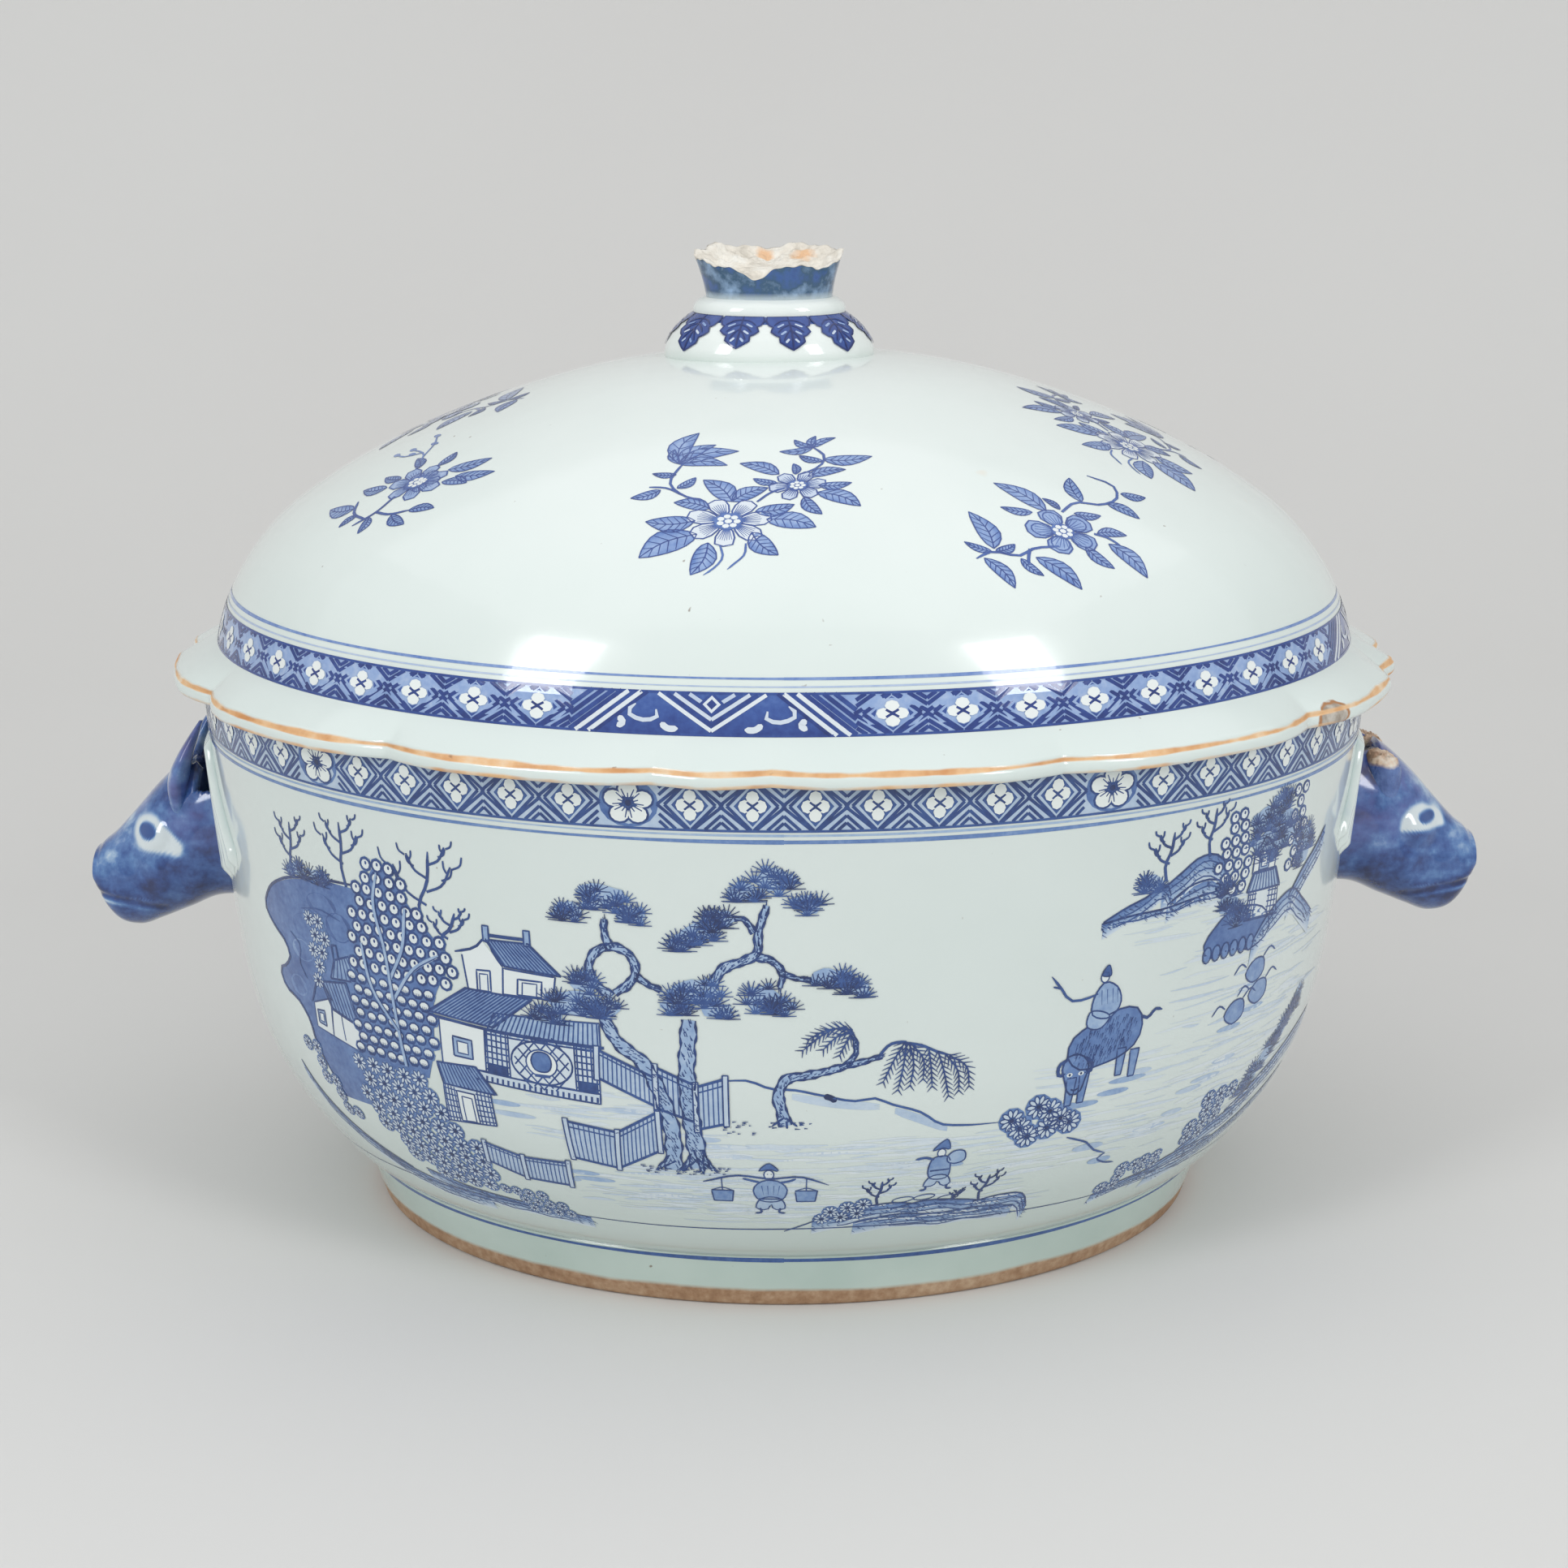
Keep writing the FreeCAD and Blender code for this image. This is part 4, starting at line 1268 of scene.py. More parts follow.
# %% Knob
KNOB_SHIFT = -3.9 * MM
KNOB_RATIO = 0.76
collar_line = smooth_line([(26.4, 230.6), (28.0, 232.4), (28.1, 234.4), (27.0, 237.4), (24.8, 240.4),
                           (22.2, 242.8), (20.2, 244.2)],
                          30) * MM
bead_line = smooth_line([(20.2, 244.0), (20.4, 245.2), (19.8, 246.8), (18.6, 247.8), (17.4, 248.4)],
                        16) * MM
collar_section = np.vstack([collar_line, [(15 * MM, 244.2 * MM), (15 * MM, 231 * MM),
                                          (20 * MM, 230.6 * MM)]])
bead_section = np.vstack([bead_line, [(14 * MM, 248.4 * MM), (14 * MM, 244 * MM)]])
knob_white = glaze("knob_glaze", shade(231, 238, 235), shade(190, 208, 198), 228 * MM, 236 * MM)
for name, section, node in (("collar_turned", collar_section, "finial_collar"),
                            ("bead_turned", bead_section, "finial_bead")):
    r, z = spread(section, 180)
    ring = turned_piece(name, r, z, KNOB_RATIO, loop=True, centre=(KNOB_SHIFT, 0.0))
    dress(ring, knob_white, node, "cover")

knob_angle = np.linspace(0, 2 * np.pi, 300, endpoint=False)
front_share = (1 + np.cos(knob_angle)) / 2
across = 18 * np.sin(knob_angle)
lip = (260.6 - 3.2 * blend(0.35, 0.75, front_share)
       - 3.8 * near(across + 2.6, 3.9) * blend(0.5, 0.7, front_share))
lip = (lip + 0.6 * np.sin(knob_angle * 5 + 1) + 0.4 * np.sin(knob_angle * 11 + 2)
       + 0.16 * np.sin(knob_angle * 31))
lip = np.minimum(lip, 261.7)
t = np.linspace(0, 1, 26)[:, None]
wall_z = 248.2 + (lip - 248.2) * t
wall_r = 16.9 + 3.4 * ((wall_z - 248.2) / 12.6) ** 1.5 + 0.35 * np.sin(knob_angle * 7) * t
s = np.linspace(0, 1, 24)[1:-1, None]
dish_r = wall_r[-1] * (1 - s)
chip = (0.5 * np.sin(dish_r * 1.9 + 3 * np.sin(knob_angle * 3))
        + 0.35 * np.sin(knob_angle * 11 + dish_r * 1.1))
dish_z = (lip - 2.9 * blend(0, 0.35, s) * (0.4 + 0.6 * blend(253, 258, lip))
          + chip * blend(0, 0.15, s) * (1 - s))
level = dish_z.mean()
dish_z = dish_z + (level - 0.4 - dish_z) * blend(0.3, 0.95, s)
bud_r = np.vstack([np.linspace(0.5, 16.9, 5)[:-1, None] + 0 * knob_angle, wall_r, dish_r]) * MM
bud_z = np.vstack([np.full((4, 300), 248.2), wall_z, dish_z]) * MM
snapped = np.vstack([np.zeros((4, 300)), blend(0.93, 1.0, t) + 0 * wall_z, np.ones_like(dish_z)])
bud_x, bud_y = bud_r / MM * np.sin(knob_angle), -KNOB_RATIO * bud_r / MM * np.cos(knob_angle)
orange = snapped * (near(np.hypot(bud_x + 1.4, bud_y - 11.5),
                         3.0) + near(np.hypot(bud_x - 9.0, bud_y - 8.0), 3.8))
bud = turned_piece("bud_broken", bud_r, bud_z, KNOB_RATIO, marks={"snapped": snapped, "orange": orange},
                   centre=(KNOB_SHIFT, 0.0))


def bud_finish():
    """Blue glaze mottled with green outside, cream broken body with orange stains on top."""
    finish = Finish("bud_blue_and_break")
    mottle = finish.noise(230, 4.0) * 0.7 + finish.noise(70, 2.0) * 0.5
    blue = finish.ramp(mottle, [(0.3, shade(26, 46, 106)), (0.5, shade(54, 92, 154)),
                                (0.62, shade(48, 84, 114)),
                                (0.8, shade(142, 172, 206))])
    low = 1 - finish.height().rise(0.2486, 0.2502)
    blue = finish.mix(low * 0.7, blue, shade(204, 218, 222))
    grain = finish.noise(700, 4.0)
    cream = finish.ramp(finish.noise(160, 3.0) * 0.8 + grain * 0.25,
                        [(0.3, shade(190, 184, 172)), (0.48, shade(228, 222, 210)),
                         (0.7, shade(240, 238, 230))])
    stains = finish.mark("orange") + (finish.noise(300, 3.0) - 0.5) * 0.7
    cream = finish.mix(stains.rise(0.35, 0.8) * 0.75, cream, shade(232, 178, 122))
    edge = (finish.mark("snapped") + (finish.noise(300) - 0.5) * 0.5).rise(0.4, 0.55)
    return finish.surface(Base_Color=finish.mix(edge, blue, cream), Roughness=edge * 0.42 + GLAZE_GLOSS,
                          Coat_Weight=(1 - edge) * GLAZE_COAT, Coat_Roughness=COAT_GLOSS,
                          Normal=finish.bump(grain * edge + finish.noise(150) * (edge * 2 + 0.4), 0.0006))


dress(bud, bud_finish(), "finial_bud", "cover")

# %% Acanthus leaves on the collar
collar_skin = Skin(collar_line, 26.0, KNOB_RATIO, KNOB_SHIFT)
leaves = Painting("collar_leaves_painted", collar_skin)
LEAVES = 10
top_v, leaf_step = collar_skin.run[-1], collar_skin.around / LEAVES


def acanthus(p, u, top, dice):
    """A hanging leaf: a lobed dark blade with a midrib, side veins and white slits."""
    drop = 11.4 + dice.uniform(-0.9, 0.9)
    half = np.array([(0.0, 6.6), (0.16, 6.9), (0.32, 6.0), (0.37, 4.9), (0.52, 5.5), (0.62, 4.2),
                     (0.66, 3.2), (0.8, 3.2), (0.92, 1.4)])
    right = [(u + w, top - s * drop) for s, w in half]
    left = [(u - w, top - s * drop) for s, w in half[::-1]]
    p.patch([*right, (u, top - drop), *left], 0.78, 0.28, centre=(u, top - 0.4 * drop), smooth=False,
            edge=0.97, width=0.5)
    p.stroke([(u, top), (u + 0.2, top - 0.5 * drop), (u, top - drop)], 0.5, 1.0, 0.38)
    for s, w in ((0.2, 4.6), (0.42, 3.6), (0.64, 2.2)):
        for sign in (-1, 1):
            p.stroke([(u, top - s * drop * 0.7), (u + sign * w * 0.6, top - s * drop * 0.95),
                      (u + sign * w, top - s * drop - 1.4)],
                     0.4, 0.98, 0.38)
            p.stroke([(u + sign * w * 0.35, top - s * drop - 0.9),
                      (u + sign * w * 0.8, top - s * drop - 2.0)], 0.6,
                     dice.uniform(0.1, 0.4), 0.4)


for k in range(LEAVES):
    acanthus(leaves, (k + 0.42) * leaf_step, top_v, np.random.default_rng(20 + k))
ring_line(leaves, top_v - 1.5, 3.0, 0.66)
leaves.fire(cobalt_lid, "cover", "knob_glaze")

# %% [markdown]
# Loose sprays of flowers are scattered over the dome.  A dome can't be unrolled without
# stretching, so a sprig is drawn in true millimetres round its own anchor, and each of
# its points is moved to the skin with the stretch that holds at its own level.

# %% Sprigs on a dome
class Sprig(Painting):
    """A painting drawn in true millimetres round an anchor: x to the right, y to the top."""

    def anchor(self, u, v, turn=0.0, flip=1, grow=1.0):
        """Sets where the sprig stands on the dome, its turn in degrees, its side and its size."""
        self.place = u, v
        self.turn, self.flip, self.grow = math.radians(turn), flip, grow

    def add(self, points, faces, tone, lift):
        """Turns and flips the points, then u = u0 + x * girth / (half length at v)."""
        x, y = self.grow * np.asarray(points, float).reshape(-1, 2).T
        x, y = (self.flip * (x * math.cos(self.turn) - y * math.sin(self.turn)),
                x * math.sin(self.turn) + y * math.cos(self.turn))
        v = self.place[1] - y
        u = self.place[0] + x * self.skin.girth / self.skin.reach(v)
        super().add(np.stack([u, v], -1), faces, tone, lift)


def leaf_shape(p, base, tip, fat=0.34, tone=0.8, bend=0.1, veins=5):
    """A pointed leaf: half width is fat * length * sin(pi t) ^ 0.8 along a bent midrib."""
    base, tip = np.array(base, float), np.array(tip, float)
    along = tip - base
    length = np.linalg.norm(along)
    side = np.array([-along[1], along[0]]) / length
    t = np.linspace(0, 1, 15)[:, None]
    middle = base + t * along + np.sin(np.pi * t) * bend * length * side
    half = fat * length / 2 * np.sin(np.pi * t ** 0.85) ** 0.85 * side
    p.sheet(np.stack([middle - half, middle, middle + half], 1), np.tile([0.5, 0.3, 0.42], 15), MIDDLE)
    for sign in (-1, 1):
        p.stroke(middle + sign * half, 0.34, tone, INK, 0.8, 0.8)
    p.stroke(middle, 0.34, tone, INK + 0.01, 1.0, 0.6)
    for k in range(1, veins + 1):
        at = int(14 * k / (veins + 1.6))
        ahead = min(14, at + 2)
        for sign in (-1, 1):
            p.hairs([middle[at]], [middle[ahead] + sign * half[ahead] * 0.9], 0.26, tone, INK + 0.02,
                    tip=0.7)


def petal(p, base, tip, fat, tone=0.75, fill=0.2, rays=5, notch=0.0):
    """A round petal with rays from its heart; notch dents its outer edge."""
    base, tip = np.array(base, float), np.array(tip, float)
    along = tip - base
    length = np.linalg.norm(along)
    unit = along / length
    side = np.array([-unit[1], unit[0]])
    a = np.linspace(-np.pi, np.pi, 22)[:-1][:, None]
    swell = 1 - notch * np.cos(a * 5) * (np.abs(a) < 1.7)
    edge = (base + unit * length * (0.52 + 0.48 * np.cos(a) * swell)
            + side * fat * length * 0.5 * np.sin(a) * swell * (0.78 + 0.3 * np.cos(a)))
    p.patch(edge, fill, MIDDLE, smooth=False)
    loop = np.vstack([edge, edge[:1]])
    p.stroke(loop, 0.42, tone, INK, 1.0, 1.0)
    for share in np.linspace(-0.7, 0.7, rays):
        start = base + unit * length * 0.12 + side * fat * length * 0.12 * share
        end = base + unit * length * (0.72 - 0.1 * abs(share)) + side * fat * length * 0.42 * share
        p.hairs([start], [end], 0.3, tone * 0.85, INK + 0.01, tip=0.4)


def blossom(p, x, y, size, count, turn=0.3, tone=0.78, fill=0.14, notch=0.0, rays=5, squash=0.9):
    """Petals round a heart of small white stamens."""
    heart = np.array([x, y])
    for k in range(count):
        a = turn + 2 * np.pi * k / count
        way = np.array([np.cos(a), squash * np.sin(a)])
        p.base = 0.004 * (k % 3)
        petal(p, heart + way * size * 0.16, heart + way * size, 5.2 / count, tone, fill, rays, notch)
    p.base = 0.0
    a = np.arange(7) * 2 * np.pi / 7
    stamens = np.stack([x + size * 0.2 * np.cos(a), y + size * 0.18 * np.sin(a)], -1)
    p.blots([(x, y)], size * 0.33, size * 0.31, 0.62, ACCENT, sides=12)
    p.blots(stamens, size * 0.085, size * 0.08, 0.02, WHITE, sides=7)
    p.blots([(x, y)], size * 0.09, size * 0.085, 0.02, WHITE, sides=7)


def leafy(p, pairs, fat=0.42, tone=0.8, bend=0.1):
    """Leaves from pairs of a tip and a base, bent to either side in turn."""
    for k, (tip, base) in enumerate(pairs):
        leaf_shape(p, base, tip, fat, tone, bend * (1 if k % 2 else -1))


def bud_half_open(p, heart, tips, tone=0.76):
    """Pointed petals that rise from one cup."""
    for tip in tips:
        leaf_shape(p, heart, tip, 0.36, tone, 0.14, veins=3)


def peony_spray(p):
    """Two open flowers, two buds on arching stems, and broad veined leaves."""
    for line in ([(-7, 8), (-12, 10), (-16, 15), (-15, 21), (-14, 24)], [(15, 20), (18, 22), (20, 25),
            (20, 29), (17, 33)], [(6, 8), (9, 12), (12, 14)], [(-12, 10), (-17, 13), (-21, 13)]):
        p.stroke(line, 0.7, 0.72, INK, 0.8, 0.6)
    leafy(p, [((-8, 17), (0, 8)), ((8, 14), (0, 8)), ((-14, 7), (-5, 5)), ((-20, -1), (-8, 0)),
        ((-20, -14), (-7, -5)), ((-7, -19), (-4, -8)), ((13, -12), (6, -4)), ((21, -2), (9, 1)), ((15, 7),
        (6, 4))], 0.5)
    leafy(p, [((0, 25), (10, 20)), ((4, 18), (10, 16)), ((13, 25), (14, 20)), ((26, 22), (17, 19)),
        ((28, 16), (20, 15)), ((31, 6), (20, 12)), ((22, 3), (17, 10)), ((-21, 19), (-15, 19)), ((-10, 18),
        (-14, 13)), ((-25, 8), (-18, 12)), ((32, 28), (20, 27)), ((14, 29), (20, 26))], 0.4)
    for line in ([(-1, -9), (0, -13), (-2, -17), (-4, -19)], [(5, -8), (5, -12), (3, -15), (1.5, -17)]):
        p.stroke(line, 0.55, 0.6, INK, 0.8, 0.3)
    bud_half_open(p, (-15, 24), [(-12, 40), (-7, 34), (-1, 31), (-17, 31), (-3, 24)])
    bud_half_open(p, (17, 33), [(9, 31), (12, 37), (17, 39), (22, 38)])
    blossom(p, 15, 15, 7.0, 6, 0.2)
    blossom(p, 0, 0, 10.4, 7, 0.2, notch=0.06, fill=0.06, rays=7)


def rose_sprig(p):
    """One flower with doubled petals on a long stem with small pointed leaves."""
    for line in ([(-4, -5), (-11, -5), (-16, -7), (-22, -5), (-27, -7)], [(4, 7), (10, 10), (17, 8),
            (24, 10), (26, 14), (21, 20)], [(8, -2), (11, -4), (13, -7)], [(-12, -5), (-14, -8),
            (-15, -10)]):
        p.stroke(line, 0.8, 0.7, INK, 0.9, 0.4)
    leafy(p, [((-7, 21), (0, 8)), ((-11, 11), (-4, 8)), ((2, 13), (4, 8)), ((15, 20), (12, 10)), ((33, 8),
        (26, 11)), ((25, 1), (19, 8)), ((14, 4), (7, 6)), ((17, -4), (9, -2)), ((7, -14), (3, -6)),
        ((15, -18), (10, -6)), ((-20, 10), (-21, -4)), ((-27, -1), (-22, -5)), ((-15, -3), (-21, -5)),
        ((-22, -17), (-25, -7)), ((-13, -14), (-16, -8)), ((-5, -19), (-12, -8))], 0.4)
    blossom(p, 0, 0, 9.4, 5, 0.35, fill=0.34, rays=5)
    for k in range(5):
        a = 0.35 + 2 * np.pi * k / 5
        p.rings([(5.4 * math.cos(a), 4.9 * math.sin(a))], 2.6, 2.3, 0.34, 0.72, ACCENT, sides=14, turn=a)


def twig_sprig(p):
    """A full flower over a forked stem, with a fan of thin twigs at one side."""
    for line in ([(0, -6), (1, -12), (-1, -18)], [(1, -12), (6, -11), (10, -8)],
            [(0, -15), (-6, -15), (-10, -12)]):
        p.stroke(line, 0.8, 0.74, INK, 0.9, 0.5)
    leafy(p, [((9, 15), (3, 7)), ((14, 5), (7, 3)), ((16, 11), (8, 6)), ((-13, -3), (-7, -1)), ((-13, 6),
        (-7, 4)), ((-17, -18), (-8, -14)), ((-5, -20), (-4, -15)), ((4, -19), (1, -14)), ((14, -12),
        (7, -11)), ((16, -5), (10, -8)), ((-4, 13), (-2, 7)), ((-14, -9), (-7, -5))], 0.46)
    for line in ([(-7, 3), (-14, 8), (-21, 7)], [(-12, 7), (-17, 12), (-22, 14)],
            [(-15, 8), (-20, 4), (-24, 3)]):
        p.stroke(line, 0.5, 0.55, INK, 0.8, 0.4)
    p.blots([(-21, 7), (-22, 14), (-24, 3), (-17, 12), (-18, 6)], 1.4, 0.8, 0.5, MIDDLE, turn=0.4)
    blossom(p, 0, 0, 8.2, 7, 0.1, fill=0.3, rays=5)
    blossom(p, 1, 1, 5.0, 5, 0.5, fill=0.36, rays=3)


# %% [markdown]
# The front has one large spray in the middle and a smaller one at each side, and more lie
# near the ends and over the top.  The far side repeats the three sprays in other turns.

# %% Sprays on the cover
sprays = Sprig("cover_sprays_painted", dome_skin)
far_side = dome_skin.around / 2
for design, u, v, turn, flip, grow in ((peony_spray, -17, 122, 0, 1, 1.0),
        (rose_sprig, 85, 130, 0, 1, 1.0), (twig_sprig, -139, 117, -8, 1, 1.1),
        (peony_spray, 158, 102, 62, -1, 0.9), (rose_sprig, -213, 92, -60, -1, 0.95),
        (twig_sprig, 246, 116, 20, -1, 1.0), (peony_spray, far_side - 12, 120, 8, -1, 1.0),
        (rose_sprig, far_side - 106, 126, 6, -1, 1.0), (twig_sprig, far_side + 92, 122, 0, 1, 1.1)):
    sprays.anchor(u, v, turn, flip, grow)
    design(sprays)
sprays.fire(cobalt_lid, "cover", "cover_glaze")

# %% [markdown]
# The bowl's front is a river landscape.  A painter builds such a scene from a few learnt
# signs: pads of pine needles, trees of ring leaves, bare horned trees, tiled roofs,
# paling fences, banks with hatched crests, and small people at their work.  Each sign is
# a short function here, so the same hand can paint the front and the back.

# %% Signs for trees
def pine_pad(p, u, v, wide, high, dice, tilt=0.0, tone=0.84):
    """A mottled pad of wash under overlapping fans of needles."""
    a = np.linspace(0, 2 * np.pi, 15)[:-1]
    wave = 1 + 0.1 * np.sin(3 * a + dice.uniform(0, 6)) + 0.06 * np.sin(5 * a)
    x, y = wide * 0.72 * wave * np.cos(a), high * 0.62 * wave * np.sin(a)
    p.patch(np.stack([u + x, v + y + tilt * x], -1), 0.3, MIDDLE)
    count = int(wide * high / 5.2) + 6
    r, b = np.sqrt(dice.uniform(0.02, 1, count)), dice.uniform(0, 2 * np.pi, count)
    fx, fy = 0.84 * wide * r * np.cos(b), 0.74 * high * r * np.sin(b)
    order = np.argsort(-fy)
    fx, fy = fx[order], fy[order] - 0.8
    spread = np.linspace(-1.55, 1.55, 8) + np.pi / 2
    length = dice.uniform(2.8, 3.6, (count, 1))
    start = np.stack([u + fx, v + fy + tilt * fx], -1)[:, None] + np.zeros((1, 8, 1))
    reach = np.stack([length * np.cos(spread), length * np.sin(spread)], -1)
    rise = np.repeat(INK + np.linspace(0, 0.05, count), 8 * 4)
    p.blots(start[:, 0] + [0, 0.9], 1.1, 0.8, 0.42, INK - 0.02 + np.repeat(np.linspace(0, 0.05, count), 9))
    p.hairs(start, start + reach, 0.36, np.repeat(dice.uniform(tone - 0.12, tone + 0.14, count), 8 * 4),
        rise, tip=0.6)


def horned_tree(p, u, v, height, lean, dice, tone=0.82, width=0.9):
    """A bare tree: a forked stem whose branches turn up at their ends like antlers."""
    top = (u + lean * height, v + height)
    stem = [(u, v), (u - 0.06 * height, v + 0.35 * height), (u + 0.6 * lean * height, v + 0.62 * height),
            top]
    p.stroke(stem, width, tone, INK, 1.0, 0.4)
    for k, share in enumerate((0.36, 0.52, 0.68, 0.84)):
        side = 1 if k % 2 else -1
        at = np.array([u + share * lean * height, v + share * height])
        long = height * (0.6 - 0.34 * share) * dice.uniform(0.85, 1.15)
        tip = at + [side * long * 0.8, long * 0.8]
        p.stroke([at, at + [side * long * 0.5, long * 0.25], tip], width * 0.75, tone, INK, 1.0, 0.6)
        for part, out in ((0.55, 1), (0.8, -0.35), (1.0, 0.9)):
            knee = at + (tip - at) * part + [side * long * 0.06, -long * 0.06]
            fork = long * dice.uniform(0.3, 0.4)
            p.stroke([knee, knee + [side * fork * 0.7 * out, fork * 0.35], knee + [side * fork * 0.9 * out,
                fork]], width * 0.6, tone, INK, 1.0, 0.7)


def trunk(p, points, wide_start, wide_end, dice, light=0.3):
    """A tree trunk: pale wash between two ragged dark edges, with scaly bark marks."""
    line = resample(points, 0.9)
    t = np.linspace(0, 1, len(line))
    half = (wide_start + (wide_end - wide_start) * t) / 2 * (1 + 0.12 * np.sin(t * len(line) * 0.9))
    side = beside(line) * half[:, None]
    p.sheet(np.stack([line - side, line, line + side], 1), light, MIDDLE)
    for sign in (-1, 1):
        edge = line + sign * side
        ink = 0.26 * (1 + 0.5 * np.sin(t * len(line) * 1.7 + sign))[:, None] * beside(edge)
        p.sheet(np.stack([edge - ink, edge + ink], 1), 0.9, INK)
    marks = int(len(line) * 2.2)
    k = dice.integers(0, len(line), marks)
    across = dice.uniform(-0.75, 0.75, (marks, 1))
    at = line[k] + across * side[k]
    along = np.gradient(line, axis=0)[k]
    along /= np.linalg.norm(along, axis=1)[:, None]
    p.hairs(at, at + along * dice.uniform(0.5, 1.5, (marks, 1)) + 0.25 * side[k], 0.32, 0.84, INK, tip=0.4)


def staggered(rows, left, right, gap, dice, jitter=0.25):
    """Points in staggered rows between a left and a right edge given as (v, u) pairs."""
    left, right = np.array(left)[::-1], np.array(right)[::-1]
    found = []
    for k, v in enumerate(rows):
        a, b = np.interp(v, left[:, 0], left[:, 1]), np.interp(v, right[:, 0], right[:, 1])
        u = np.arange(a + gap * 0.5 * (k % 2), b, gap)
        found.append(np.stack([u, np.full_like(u, v)], -1))
    found = np.vstack(found)
    return found + dice.uniform(-jitter, jitter, found.shape)


def ring_leaves(p, centres, size, tone=0.86):
    """Leaves painted as thick rings with an eye in each."""
    p.blots(centres, size * 1.12, size * 1.12, 0.6, MIDDLE, sides=8)
    p.blots(centres, size * 0.72, size * 0.72, 0.03, INK, sides=8)
    p.rings(centres, size * 0.86, size * 0.86, size * 0.34, tone, INK + 0.02, sides=9)
    p.blots(centres + [size * 0.08, size * 0.2], size * 0.2, size * 0.3, tone, ACCENT, sides=5)


def shell_leaves(p, centres, size, tone=0.86):
    """Leaves painted as small shells: a white crown over a fan of short lines."""
    p.blots(centres, size * 1.15, size * 1.1, 0.56, MIDDLE, sides=8)
    p.blots(centres + [0, size * 0.25], size * 0.72, size * 0.55, 0.03, INK, sides=8)
    p.rings(centres + [0, size * 0.1], size * 0.85, size * 0.75, size * 0.26, tone, INK + 0.02, sides=9)
    for x in (-0.45, -0.15, 0.15, 0.45):
        p.hairs(centres + [x * size, -size * 0.75], centres + [x * size * 0.7, size * 0.1],
            size * 0.17, tone, ACCENT)


def daisies(p, centres, size, tone=0.82, petals=9):
    """A bush of daisies: petals are light loops round a dark eye."""
    a = np.arange(petals) * 2 * np.pi / petals
    out = np.stack([np.cos(a), np.sin(a)], -1)
    spots = (centres[:, None] + out * size * 0.62).reshape(-1, 2)
    turn = np.tile(a, len(centres))
    p.blots(centres, size * 1.12, size * 1.12, 0.52, MIDDLE, sides=10)
    p.blots(spots, size * 0.36, size * 0.18, 0.12, INK, sides=7, turn=turn)
    p.rings(spots, size * 0.37, size * 0.19, size * 0.1, tone, INK + 0.02, sides=8, turn=turn)
    p.blots(centres, size * 0.2, size * 0.2, 0.95, ACCENT, sides=6)


def willow_frond(p, points, tone=0.86):
    """A hanging frond: a spine with paired leaflets that point down and out."""
    line = resample(points, 1.5)
    p.stroke(points, 0.4, tone, INK, 1.0, 0.4)
    along = np.gradient(line, axis=0)
    along /= np.linalg.norm(along, axis=1)[:, None]
    for sign in (-1, 1):
        out = along * 0.9 + sign * beside(line) * 0.8
        size = 2.5 * (1 - 0.35 * np.linspace(0, 1, len(line)))[:, None]
        p.hairs(line, line + out * size, 0.42, tone, INK, tip=0.3)


# %% Signs for buildings
def inside_quad(corners, s, t):
    """Points in a four-sided shape: s runs from its left to its right, t from foot to top."""
    a, b, c, d = (np.array(corner, float) for corner in corners)
    s, t = np.asarray(s, float)[..., None], np.asarray(t, float)[..., None]
    return (1 - s) * (1 - t) * a + s * (1 - t) * b + s * t * c + (1 - s) * t * d


def within(corners, left, foot, right, top):
    """The corners of a smaller shape inside another, by shares of its width and height."""
    return [inside_quad(corners, s, t) for s, t in ((left, foot), (right, foot), (right, top), (left, top))]


def panel(p, corners, tone, lift=MIDDLE, edge=0.84, width=0.45):
    """A flat filled panel with ruled edges; corners go foot left, foot right, top right, top left."""
    size = np.ptp(np.array(corners, float), axis=0)
    columns, rows = (int(np.clip(s / 2.2, 1, 30)) + 1 for s in size)
    s, t = np.meshgrid(np.linspace(0, 1, columns), np.linspace(0, 1, rows))
    p.sheet(inside_quad(corners, s, t), tone, lift)
    if edge is not None:
        p.ruled([*corners, corners[0]], width, edge, lift + 0.03)


def bars(p, corners, count, tone=0.75, width=0.32, flat=False, lift=INK):
    """Evenly spaced bars across a panel, upright or flat, cut into short pieces."""
    k = (np.arange(count) + 0.5) / count
    size = np.ptp(np.array(corners, float), axis=0)[0 if flat else 1]
    cuts = np.linspace(0, 1, int(size / 4) + 2)
    for low, high in zip(cuts[:-1], cuts[1:]):
        start, end = (k, np.full(count, low)), (k, np.full(count, high))
        if flat:
            start, end = start[::-1], end[::-1]
        p.hairs(inside_quad(corners, *start), inside_quad(corners, *end), width, tone, lift, tip=1.0)


def lattice(p, corners, upright, level, width=0.4):
    """Upright and level bars across a panel."""
    bars(p, corners, upright, 0.8, width)
    bars(p, corners, level, 0.8, width, flat=True)


def tiled_roof(p, corners, count, tone=0.42):
    """A roof slope with rows of round tiles, ruled from the ridge to the eaves."""
    panel(p, corners, tone, MIDDLE, 0.88, 0.55)
    bars(p, corners, count, 0.8, 0.42)


def window(p, corners, fill=0.03):
    """A double frame round a pale opening."""
    panel(p, corners, 0.3, MIDDLE + 0.02, 0.86, 0.5)
    inner = within(corners, 0.22, 0.2, 0.78, 0.8)
    panel(p, inner, fill, INK + 0.01, 0.8, 0.35)


